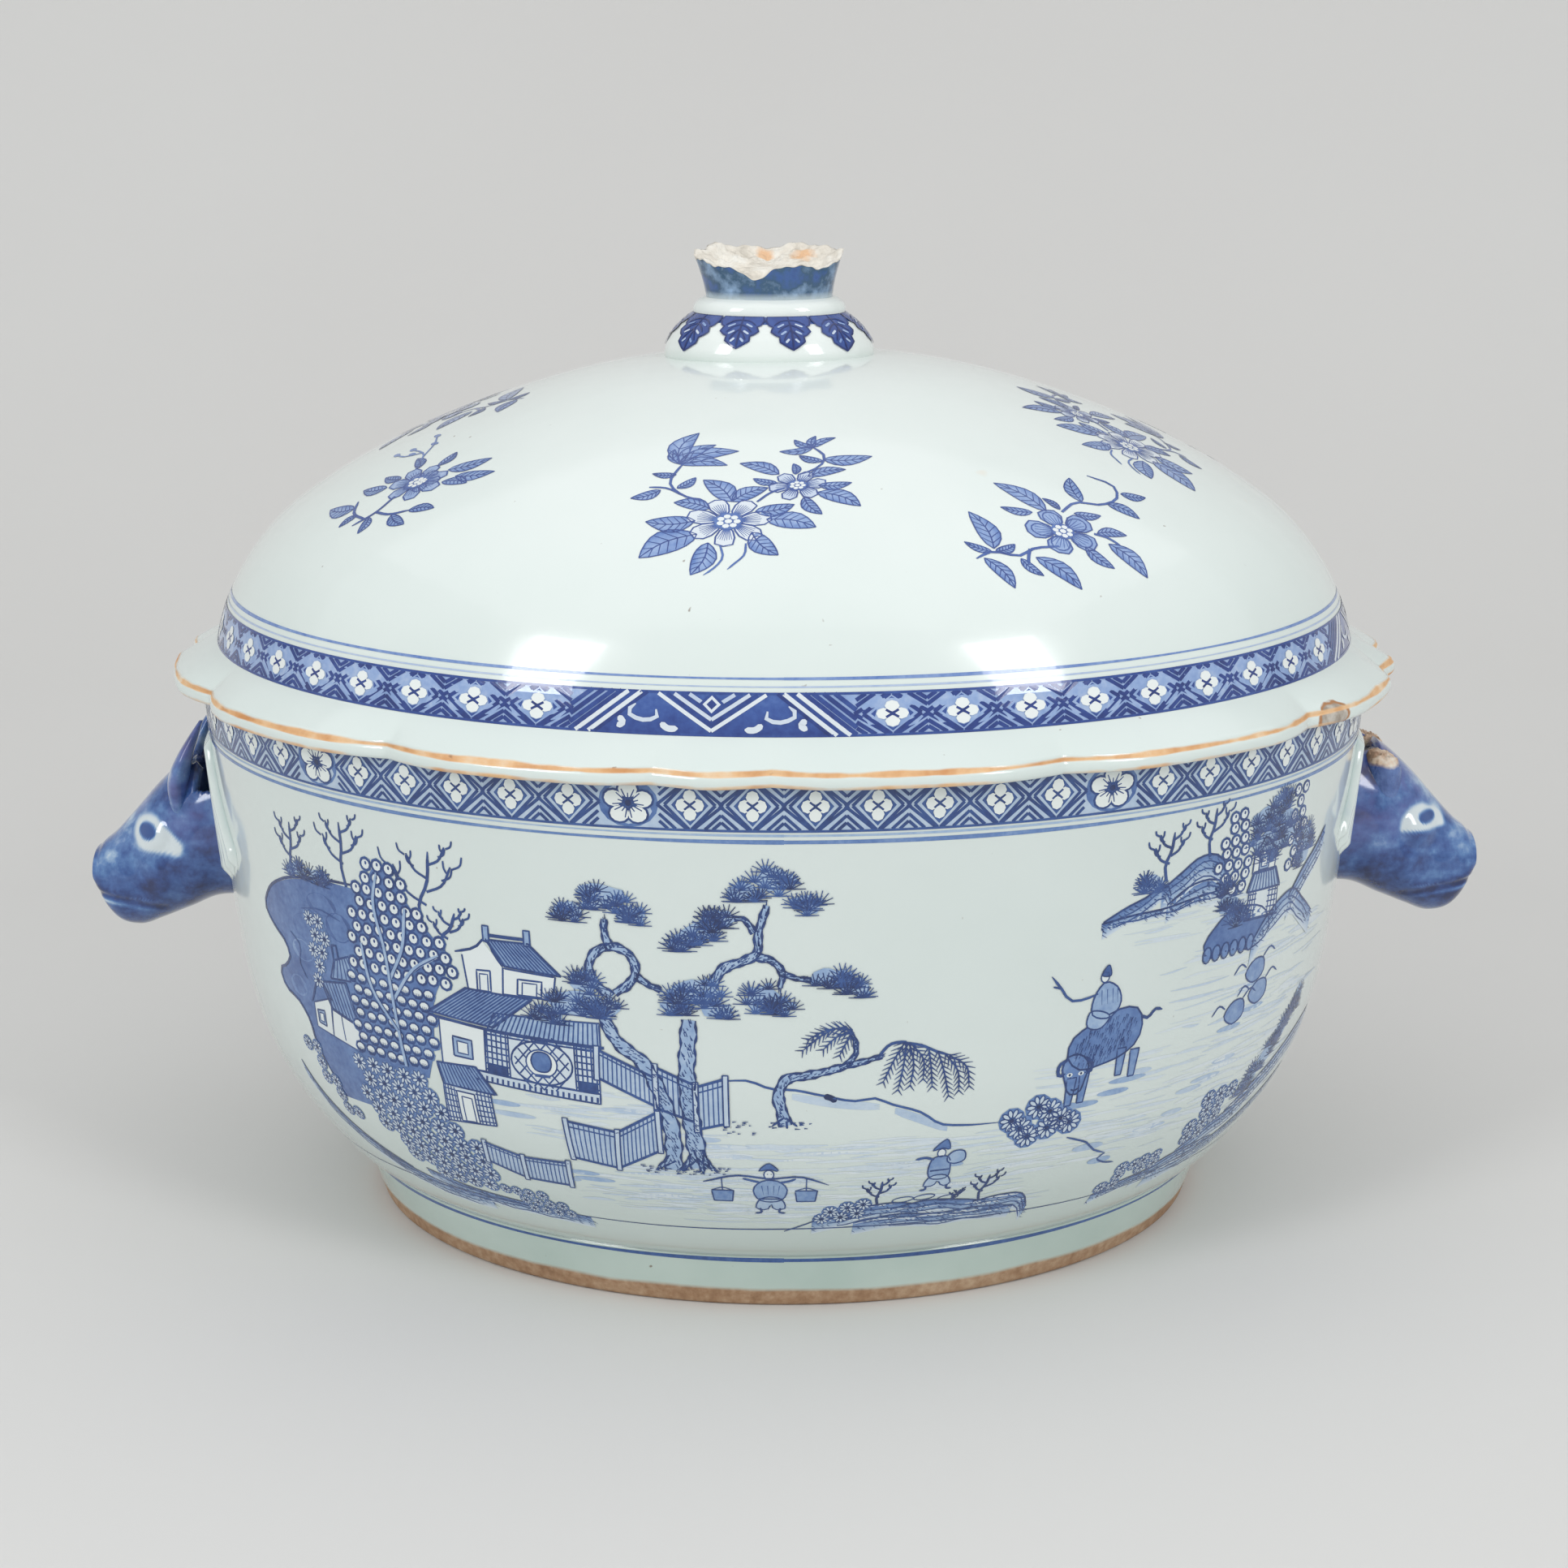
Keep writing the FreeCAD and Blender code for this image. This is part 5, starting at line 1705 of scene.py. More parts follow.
def paling(p, feet, tops, gap=1.15, tone=0.72):
    """A fence of upright palings between posts, one panel between each two posts."""
    for a, b, c, d in zip(feet[:-1], feet[1:], tops[1:], tops[:-1]):
        corners = [a, b, c, d]
        panel(p, corners, 0.22, MIDDLE, None)
        bars(p, corners, max(3, int(abs(b[0] - a[0]) / gap)), tone, 0.34)
        p.ruled([d, c], 0.75, 0.8, INK + 0.02)
        p.ruled([a, b], 0.75, 0.8, INK + 0.02)
        rail = [inside_quad(corners, s, 0.86) for s in (0, 1)]
        p.ruled(rail, 0.4, 0.75, INK + 0.02)
    for foot, top in zip(feet, tops):
        post = [(foot[0] - 0.7, foot[1] - 0.8), (foot[0] + 0.7, foot[1] - 0.8),
            (top[0] + 0.7, top[1] + 0.9), (top[0] - 0.7, top[1] + 0.9)]
        panel(p, post, 0.15, INK + 0.03, 0.85, 0.4)


# %% Signs for ground and water
def ribbons(p, lines, width, tone, lift):
    """Many painted lines of equal length at once: lines is (count, points, 2)."""
    count, size = lines.shape[:2]
    t = np.linspace(0, np.pi, size)
    half = np.zeros_like(lines)
    half[..., 1] = np.asarray(width).reshape(-1, 1) / 2 * (0.25 + 0.75 * np.sin(t))
    grid = np.stack([lines - half, lines + half], 2)
    one = grid_quads(size, 2, wrap_columns=False)
    faces = (np.arange(count)[:, None, None] * size * 2 + one).reshape(-1, 4)
    p.add(grid, faces, np.repeat(tone, size * 2), lift)


def water(p, u_range, v_range, count, dice, tone=(0.05, 0.16), length=(6, 22), width=(0.3, 1.1)):
    """Dry level strokes of pale wash, as a wide brush leaves while the pot turns."""
    size = 12
    start = np.stack([dice.uniform(*u_range, count), dice.uniform(*v_range, count)], -1)
    run = dice.uniform(*length, count)
    t = np.linspace(0, 1, size)
    u = start[:, :1] + run[:, None] * t
    v = start[:, 1:] + 0.25 * np.sin(t * 4 + start[:, :1] + p.origin[0])
    ribbons(p, np.stack([u, v], -1), dice.uniform(*width, count), dice.uniform(*tone, count), WASH)


def bank(p, crest, depth, dice, strong=0.62, folds=3, line=0.9):
    """A bank of ground: a dark crest line, a wash that fades below it, and hatched folds."""
    top = resample(crest, 1.6)
    drop = np.array([0, depth])
    p.wash(top, top - drop, strong, 0.08, WASH + 0.01)
    p.stroke(crest, 0.55, line, INK, 0.8, 0.4)
    for fold in range(1, folds + 1):
        share = fold / (folds + 0.6)
        a = int(len(top) * 0.08 * fold)
        low = top[a:len(top) - a // 2] - drop * share
        low = low + np.stack([np.zeros(len(low)), 0.35 * np.sin(np.arange(len(low)) * 0.8 + fold)], -1)
        if len(low) > 3:
            p.stroke(low, 0.4, 0.78, INK, 0.5, 0.3)
    count = int(len(top) * 3.4)
    k = dice.integers(0, len(top), count)
    at = top[k] - drop * dice.uniform(0.02, 0.75, (count, 1))
    p.hairs(at, at + np.stack([dice.uniform(0.6, 1.6, count), -dice.uniform(0.3, 1.1, count)], -1),
        0.26, dice.uniform(0.6, 0.95, count).repeat(4), INK)


def dashes(p, u_range, v_range, count, dice, tone=0.85, size=1.0):
    """Small dabs that stand for stones and grass at a foot."""
    at = np.stack([dice.uniform(*u_range, count), dice.uniform(*v_range, count)], -1)
    p.hairs(at, at + np.stack([dice.uniform(0.6, 1.5, count) * size, dice.uniform(-0.2, 0.2, count)], -1),
        0.42, tone, INK)


def puddle(p, u, v, wide, high=0.8, tone=0.3):
    """A short pool of shadow under a foot or a stone."""
    p.blots([(u, v)], wide, high, tone, WASH + 0.01, sides=14)


# %% [markdown]
# The front, from left to right: a cliff with a hut, ring trees and daisies, a walled
# house with a round lattice, two pines over a zigzag fence, a leaning willow, people
# carrying loads, a rider on a buffalo, and an islet far up on the right.

# %% Front, left side: cliff, hut and ring tree
front = Painting("bowl_front_landscape", bowl_skin)
dice = np.random.default_rng(7)
front.wash([(-123, 106), (-133, 104.5), (-144, 101.5), (-152, 97), (-155, 92), (-151, 87), (-147, 84.5),
    (-145.5, 81), (-148, 77.5), (-152, 75), (-151, 71), (-144, 68), (-140.5, 64), (-139.5, 57), (-137, 51),
    (-133, 43)], [(-112, 106), (-111, 102), (-110, 98), (-110, 93), (-110, 88), (-110, 84), (-110, 80),
    (-110, 76), (-110, 73), (-110, 70), (-110, 67), (-110, 63), (-110, 59), (-110, 55), (-109, 50),
    (-107, 44)], 0.66, 0.52)
front.stroke([(-112, 107), (-123, 106.4), (-133, 105), (-144, 102), (-152.3, 97), (-155.4, 92), (-151, 87),
    (-147, 84.5), (-145.2, 81), (-148, 77.5), (-152.4, 75), (-151.2, 71), (-144.2, 68), (-140.8, 64),
    (-139.8, 57), (-137, 51), (-133, 43)], 0.8, 0.92, INK, 0.6, 0.4)
for lump in ((-140, 98, 6, 3.2), (-127, 99, 6, 3), (-133, 91, 8, 4), (-138, 84, 5, 3), (-143, 73, 4, 3),
        (-121, 94, 5, 4)):
    front.blots([lump[:2]], lump[2], lump[3], dice.uniform(0.42, 0.74), WASH + 0.01, sides=16)
front.stroke([(-143, 88), (-139, 85), (-140.5, 80), (-138, 76)], 0.5, 0.8, INK)
front.stroke([(-136, 96), (-128, 97.5), (-120, 96)], 0.45, 0.74, INK)
for u, v, high, lean in ((-137, 104, 15, 0.03), (-116, 106, 17, -0.02), (-91, 98, 22, 0.12),
        (-86, 94, 11, 0.35)):
    horned_tree(front, u, v, high, lean, dice)
pine_pad(front, -136, 106.5, 5.5, 2.6, dice)
pine_pad(front, -127, 106.5, 5, 2.4, dice)
front.base = 0.03
panel(front, [(-137, 63), (-130, 62), (-128.5, 73), (-136.5, 70)], 0.03)
front.stroke([(-137.4, 70), (-132, 77.5), (-128, 72.5)], 0.7, 0.88)
tiled_roof(front, [(-128.5, 70), (-118, 67.5), (-121, 79), (-131.5, 77)], 8)
panel(front, [(-130, 62), (-119, 60), (-118.5, 68), (-128.5, 70.5)], 0.03)
window(front, [(-135.6, 64.6), (-132.4, 64.2), (-132.2, 68.6), (-135.4, 68.2)])
front.ruled([(-125, 62), (-125, 69.6)], 0.4, 0.8)
tiled_roof(front, [(-127, 79), (-114, 80.5), (-118, 87), (-124.5, 84.5)], 7)
front.ruled([(-124.6, 83.5), (-124.8, 88.5), (-123, 88.8), (-122.6, 85)], 0.6, 0.85)
daisies(front, staggered(np.arange(77, 94, 4.2), [(94, -133), (76, -133)], [(94, -126), (76, -130)],
    4.0, dice), 2.3)

front.base = 0.06
ring_tree = staggered(np.arange(113.5, 84, -3.45), [(114, -108), (108, -112), (98, -115.5), (90, -116),
    (84, -117)], [(114, -99), (108, -95), (101, -91), (97, -84), (91, -82), (84, -86)], 3.75, dice)
front.wash([(-106, 113), (-112, 104), (-114, 92), (-116, 80), (-117, 66), (-115, 58)],
    [(-101, 113), (-95, 104), (-86, 92), (-91, 80), (-93, 66), (-96, 58)], 0.6, 0.6, WASH + 0.01)
ring_leaves(front, ring_tree, 1.85)
shell_leaves(front, staggered(np.arange(81.5, 59, -3.3), [(84, -118), (60, -119)], [(84, -89), (78, -91),
    (60, -94)], 3.7, dice), 1.9)
for stem in ([(-103, 60), (-104, 75), (-105, 92), (-107, 104), (-105, 112)], [(-104, 84), (-99, 93),
        (-97, 104)], [(-104, 78), (-96, 88), (-88, 93)], [(-104, 70), (-111, 80), (-113, 92)]):
    front.stroke(stem, 1.1, 0.3, WHITE, 1.0, 0.4)
    front.stroke(np.array(stem) + [0.5, 0], 0.3, 0.85, WHITE + 0.02, 1.0, 0.4)
daisies(front, staggered(np.arange(57, 24, -4.6), [(58, -121), (44, -122), (30, -113), (24, -106)],
    [(58, -97), (50, -92), (40, -84), (31, -84), (24, -88)], 5.4, dice, 0.3), 2.65)
daisies(front, staggered(np.arange(24, 17, -3.4), [(24, -83), (17, -76)], [(24, -70), (17, -60)],
    4.0, dice, 0.2), 1.8)
daisies(front, staggered(np.arange(56, 36, -4.4), [(56, -145), (36, -134)], [(56, -139), (36, -127)],
    4.6, dice, 0.2), 2.1)

# %% Front: walled house
front.base = 0.02
front.patch([(-80, 85), (-70.5, 85), (-70, 93), (-75, 99), (-81, 95)], 0.02, smooth=False)
front.ruled([(-80, 85), (-81, 94.5)], 0.5, 0.82)
front.stroke([(-83, 95), (-77, 97), (-74, 99.6), (-72, 96), (-69.8, 92.5)], 0.7, 0.88)
front.ruled([(-69.8, 92.5), (-70.4, 85)], 0.5, 0.84)
tiled_roof(front, [(-69.5, 93), (-54.5, 92), (-62.5, 99.6), (-74, 99.4)], 13)
panel(front, [(-74.6, 99), (-73, 99), (-73, 103), (-74.6, 103)], 0.35, INK)
panel(front, [(-63.6, 99), (-62, 99), (-62, 103), (-63.6, 103)], 0.35, INK)
front.ruled([(-73, 100.6), (-63.6, 100.6)], 0.9, 0.84)
panel(front, [(-70.4, 85.5), (-57, 85.5), (-56, 91.6), (-69.8, 92.4)], 0.02)
for door in ([(-77.4, 85.6), (-73.6, 85.6), (-73.4, 91.2), (-77.2, 91)], [(-66.4, 85.8), (-60, 85.8),
        (-59.6, 90), (-66, 90)]):
    panel(front, door, 0.03, MIDDLE + 0.02, 0.84, 0.5)
    panel(front, within(door, 0.2, 0, 0.8, 0.82), 0.03, INK, 0.8, 0.35)
front.base = 0.05
tiled_roof(front, [(-93, 77.5), (-74, 76), (-62.5, 85), (-81, 85.6)], 17)
panel(front, [(-90.5, 63.5), (-77.5, 63.5), (-76.5, 75.5), (-90, 76)], 0.02)
window(front, [(-86.6, 66.4), (-81, 66.2), (-80.8, 71.4), (-86.4, 71.8)])
panel(front, [(-76.5, 74), (-45.5, 73), (-45.5, 80.5), (-73.5, 80)], 0.3, MIDDLE, 0.84)
bars(front, [(-76.5, 75.4), (-45.5, 74.4), (-45.5, 80.5), (-73.5, 80)], 24, 0.78, 0.4)
front.ruled([(-93, 76.6), (-76, 75.2), (-44.6, 74)], 0.8, 0.86, INK + 0.03)
for side in ([(-77.5, 63.5), (-70.6, 63), (-70.2, 74.6), (-76.8, 75)], [(-52.6, 61.6), (-46.4, 61.4),
        (-46.2, 73.6), (-52.4, 74)]):
    panel(front, side, 0.1, MIDDLE, 0.84)
    lattice(front, side, 5, 7, 0.45)
    panel(front, within(side, 0.12, 0.0, 0.88, 0.2), 0.85, ACCENT)
screen = [(-70.6, 62.8), (-52.6, 61.8), (-52.4, 74), (-70.2, 74.6)]
panel(front, screen, 0.08, MIDDLE, 0.84)
a = np.linspace(0, 2 * np.pi, 17)[:-1]
centre = np.array([-61.5, 68.0])
for turn in (-0.85, 0.85):
    for shift in np.arange(-7.2, 7.3, 2.4):
        way = np.array([np.cos(turn), np.sin(turn)])
        base = centre + shift * np.array([-way[1], way[0]])
        half = np.sqrt(max(8.2**2 - shift**2, 0.1)) * 0.85
        front.ruled([base - way * half, base + way * half], 0.42, 0.8, INK)
front.rings([centre], 8.3, 5.9, 0.5, 0.84, INK + 0.02, sides=28)
front.blots([centre], 4.2, 3.7, 0.02, INK + 0.03, sides=20)
front.rings([centre], 4.2, 3.7, 0.4, 0.8, INK + 0.05, sides=22)
front.patch([(-64.3, 68.6), (-63.4, 70.6), (-59.6, 70.6), (-58.8, 68.6), (-59.6, 66.2), (-63.4, 66.2)],
    0.62, ACCENT, edge=0.9, width=0.4)
front.ruled([(-63.6, 64.6), (-59.4, 64.6)], 0.8, 0.8, WHITE)
step = [(-83, 61), (-46.6, 58.4), (-46.4, 61.2), (-82.6, 63.6)]
panel(front, step, 0.12, MIDDLE, 0.86, 0.5)
bars(front, within(step, 0, 0.1, 1, 0.62), 24, 0.82, 0.6)
front.base = 0.08
tiled_roof(front, [(-91.5, 57.6), (-75.5, 57), (-80.5, 64.2), (-92.5, 63.6)], 13)
panel(front, [(-92.5, 46.5), (-77.4, 47.5), (-77.4, 57), (-91.6, 57.6)], 0.1, MIDDLE, 0.84)
for side in ([(-92.3, 46.8), (-88.2, 47), (-88, 57), (-91.6, 57.4)], [(-82.2, 47.4), (-77.6, 47.6),
        (-77.6, 56.8), (-82, 57)]):
    lattice(front, side, 4, 6)
panel(front, [(-88, 47.2), (-82.4, 47.4), (-82.4, 56), (-87.8, 56.2)], 0.02, INK)
panel(front, [(-86.6, 47.4), (-83.4, 47.6), (-83.4, 54.6), (-86.4, 54.8)], 0.02, INK + 0.02, 0.8, 0.35)
paling(front, [(-47, 66), (-32, 59)], [(-46.6, 73.6), (-32, 67)])
paling(front, [(-32, 58.6), (-22, 55)], [(-32, 70), (-22, 65.5)])
paling(front, [(-56.5, 41.2), (-44, 39.2), (-32, 46)], [(-57, 52.4), (-43, 50.6), (-32, 57.4)])
paling(front, [(-22, 53), (-14.5, 55)], [(-22, 65), (-14.5, 67.6)])
paling(front, [(-84, 35), (-73, 31), (-59.5, 30.6)], [(-83, 41.4), (-72, 38.6), (-58.5, 38.8)])

# %% Front: two pines
front.base = 0.11
trunk(front, [(-22, 41), (-23, 52), (-24, 66), (-23, 83)], 4.6, 3.6, dice)
trunk(front, [(-29, 40), (-28.5, 52), (-31, 63), (-35, 71), (-41, 76), (-44.5, 83)], 4.4, 2.8, dice)
for root in ([(-29, 44), (-33, 40.5)], [(-23, 45), (-27, 40)], [(-21.6, 45), (-18.4, 40.6)],
        [(-22, 47), (-21.4, 40)]):
    trunk(front, [root[0], (np.array(root[0]) + root[1]) / 2, root[1]], 2.2, 0.9, dice)
trunk(front, [(-41.6, 88), (-45.6, 91), (-47.2, 95.6), (-45, 99.6), (-40.4, 101), (-36.8, 99), (-35.6, 95),
    (-37.8, 91.2), (-41, 89)], 1.9, 1.8, dice)
trunk(front, [(-35.6, 94), (-33, 92), (-29.6, 90.6)], 1.5, 1.2, dice)
trunk(front, [(-41.6, 100.6), (-42.8, 104), (-42.8, 108)], 1.9, 1.2, dice)
trunk(front, [(-18, 91), (-14, 97), (-10, 98.6), (-6.6, 100.6), (-6, 106), (-4, 113)], 2.4, 1.4, dice)
trunk(front, [(-6.6, 100), (-2.4, 98.6), (-0.4, 95.6), (-1, 92)], 1.8, 1.1, dice)
trunk(front, [(-1, 96), (3, 94.4), (8, 94)], 1.3, 0.8, dice)
trunk(front, [(-7, 106), (-9.4, 109.4), (-14, 109.4)], 1.3, 0.8, dice)
front.base = 0.16
for u, v, wide, high, tilt in ((-43.5, 114, 8, 4.8, 0), (-51.5, 109.5, 5, 3.4, 0),
        (-36.5, 109.5, 5, 3.4, 0), (-20, 106, 7.5, 3.8, 0.25), (-15.5, 109, 5, 3.4, 0),
        (-24, 102.6, 4, 2.4, 0.2), (-2, 119.4, 6.6, 4.6, 0), (-9.5, 116.4, 5, 3.4, 0),
        (5.4, 113.4, 4.6, 3.4, -0.2), (-21.5, 90.6, 8.4, 4.4, 0), (-26, 86.6, 5.4, 3, 0),
        (-16.4, 86, 5.4, 3, 0), (-4.6, 89, 5.8, 5, 0), (-0.8, 86.8, 4, 3, 0), (10.6, 94.6, 6, 3.4, -0.1),
        (17, 91.8, 5, 2.6, -0.1), (-51.5, 85.5, 9.4, 5.2, 0), (-59, 81.6, 6, 3.6, 0),
        (-44, 84.6, 5.6, 4, 0), (-49, 91, 4.6, 3.4, 0)):
    pine_pad(front, u, v, wide, high, dice, tilt)
dashes(front, (-38, -14), (38.6, 41.4), 46, dice)
dashes(front, (-16, -8), (52, 56), 16, dice)

# %% Front: willow, contour and bushes
front.base = 0.0
front.stroke([(-14.5, 67), (-9, 67.2), (-3, 65), (2, 64.8), (10, 63), (19, 61.4), (22, 62), (27, 60),
    (35, 57), (40, 53.4), (46, 52.4), (56, 52)], 0.65, 0.74, INK)
for k in range(3):
    front.stroke([(2, 63.4 - k * 0.5), (12, 61.6 - k * 0.7), (24, 60 - k * 0.6)], 1.0, 0.16, WASH)
    front.stroke([(28, 58.6 - k * 0.5), (35, 55.6 - k * 0.6), (42, 52 - k * 0.4)], 1.2, 0.22, WASH)
front.stroke([(10, 63), (12, 62.2), (13, 61.4)], 1.6, 1.0, INK)
front.base = 0.04
trunk(front, [(0.4, 54.6), (-0.6, 59), (-1.4, 63), (0.6, 67.6), (5.4, 68.6), (10, 69.6), (15, 71),
    (20, 72.2), (24, 73.4)], 3.0, 1.0, dice)
trunk(front, [(15, 71), (17.4, 74), (17.2, 78), (15.6, 80.8)], 1.3, 0.6, dice)
front.stroke([(23, 73), (26, 76.4), (30, 77)], 0.8, 0.8)
front.stroke([(29, 76.8), (34, 75.6), (38, 73.6), (41, 72.6)], 0.7, 0.8)
for frond in ([(16.5, 80.6), (12, 81), (8, 78.4), (4.6, 75.4)], [(16.6, 80.4), (13, 79), (9.6, 75.6)],
        [(16.8, 80), (15, 77), (13.6, 74)], [(15, 81.4), (10, 80.6), (6, 78.4)],
        [(29.6, 76.8), (27, 72), (24.6, 66.4)], [(30, 76.8), (29.4, 70), (28.4, 64)],
        [(30.6, 76.6), (32, 71), (31.4, 65)], [(31, 76.4), (34.4, 72), (34.6, 66.6)],
        [(35.6, 75), (36.4, 70), (37, 64.4)], [(38, 73.8), (39.6, 69), (41.4, 61.4)],
        [(40, 72.8), (43.4, 68), (44, 62.6)], [(41, 72.4), (45.6, 69), (46.6, 63.6)]):
    willow_frond(front, frond)
for root in ([(0, 57), (-3, 54.6)], [(0.4, 57), (3.4, 54.4)], [(0.6, 56), (0.8, 53.8)]):
    front.stroke(root, 0.6, 0.86)
dashes(front, (-5, 7), (53.6, 55.6), 16, dice)
daisies(front, np.array([(59.5, 52), (66.5, 55), (73.6, 50.6), (64.6, 46.6), (70, 48.4), (76.4, 49),
    (62, 49.4), (70, 53.4)]), 3.4, petals=10)
front.stroke([(77, 44), (81, 42.4), (84, 41), (87, 38), (92, 35.6)], 0.6, 0.76)
front.stroke([(92, 35.6), (90, 34), (92.6, 32.2), (97, 31)], 0.6, 0.8)
puddle(front, 85, 39.2, 5, 1.2, 0.24)
puddle(front, 91, 33.2, 4, 1.2, 0.3)

# %% Signs for people and beasts
def porter(p):
    """A porter with a yoke and two buckets, drawn from a zero between the feet."""
    p.patch([(-2.4, 12), (-4.6, 9.4), (-3.4, 5.4), (3.2, 5.4), (4.4, 9.4), (2.2, 12)],
        0.4, MIDDLE, edge=0.84, width=0.4)
    p.patch([(-2.8, 5.6), (-4, 1.8), (-0.8, 1.6), (0, 3.6), (0.8, 1.6), (3.8, 1.8), (2.8, 5.6)],
        0.24, MIDDLE, edge=0.84, width=0.4)
    p.blots([(-0.4, 14.4)], 1.3, 1.5, 0.04, INK, sides=12)
    p.rings([(-0.4, 14.4)], 1.3, 1.5, 0.35, 0.8, INK + 0.02, sides=14)
    p.patch([(-3, 15.6), (-0.4, 18.2), (2.2, 15.6), (-0.4, 16.2)], 0.6, ACCENT, edge=0.88, width=0.3)
    p.hairs([(-0.9, 14.6), (0.1, 14.6)], [(-0.6, 14.6), (0.4, 14.6)], 0.22, 0.85, ACCENT, tip=1)
    p.stroke([(-18, 11.5), (-9, 14), (0, 13), (8, 13.6), (15.6, 10.6)], 0.6, 0.82, ACCENT)
    for x in (-13, 9.6):
        p.ruled([(x, 13), (x, 8.6)], 0.3, 0.8)
        p.patch([(x - 3, 8.6), (x + 3, 8.6), (x + 2.5, 4.6), (x - 2.5, 4.6)],
            0.45, MIDDLE, edge=0.86, width=0.4, smooth=False)
        p.stroke([(x - 3, 8.6), (x, 9.6), (x + 3, 8.6)], 0.3, 0.8)
    for x, lean in ((-3, -1.4), (2.6, 1.4)):
        p.stroke([(x, 2), (x * 0.9, 0.2), (x + lean, -0.2)], 0.7, 0.84)
    for x in (-2.4, -0.8, 0.9, 2.4):
        p.hairs([(x, 10.5)], [(x * 0.8, 7)], 0.25, 0.72)
    p.ruled([(-3.2, 5.6), (3, 5.6)], 0.5, 0.86)
    p.stroke([(-2.6, 11.6), (-5.4, 12.4), (-7.4, 13)], 0.7, 0.75)
    p.stroke([(2.4, 11.6), (5.2, 12.2), (6.8, 13)], 0.7, 0.75)


def sack_bearer(p):
    """A walker with a sack over the shoulder, drawn from a zero between the feet."""
    p.patch([(-2, 11.4), (-3.2, 7.6), (-2.4, 4.6), (2.6, 4.6), (2.8, 8), (1.8, 11.4)],
        0.4, MIDDLE, edge=0.86, width=0.4)
    p.patch([(-2.4, 4.8), (-3.6, 1.6), (-0.6, 2), (0, 3.4), (1.6, 1.4), (3.6, 1.8), (2.6, 4.8)],
        0.24, MIDDLE, edge=0.86, width=0.4)
    p.patch([(1.6, 11.4), (3, 13), (6, 12.8), (6.4, 10), (4, 9), (1.8, 9.8)],
        0.28, INK, edge=0.84, width=0.4)
    p.blots([(-0.2, 12.8)], 1.1, 1.3, 0.04, INK, sides=12)
    p.rings([(-0.2, 12.8)], 1.1, 1.3, 0.3, 0.8, INK + 0.02, sides=12)
    p.patch([(-2.6, 13.6), (1, 17), (1.8, 13.8), (0, 14.4)], 0.62, ACCENT, edge=0.88, width=0.3)
    p.stroke([(-2, 10.8), (-4.4, 11.6), (-7, 11.2)], 0.8, 0.74)
    p.ruled([(-2.6, 7), (2.6, 7.2)], 0.5, 0.88)
    for x, lean in ((-3, -1.5), (3, 1.5)):
        p.stroke([(x, 1.8), (x, 0.4), (x + lean, 0.1)], 0.7, 0.86)
    puddle(p, 4, 8.6, 2.4, 0.7, 0.3)


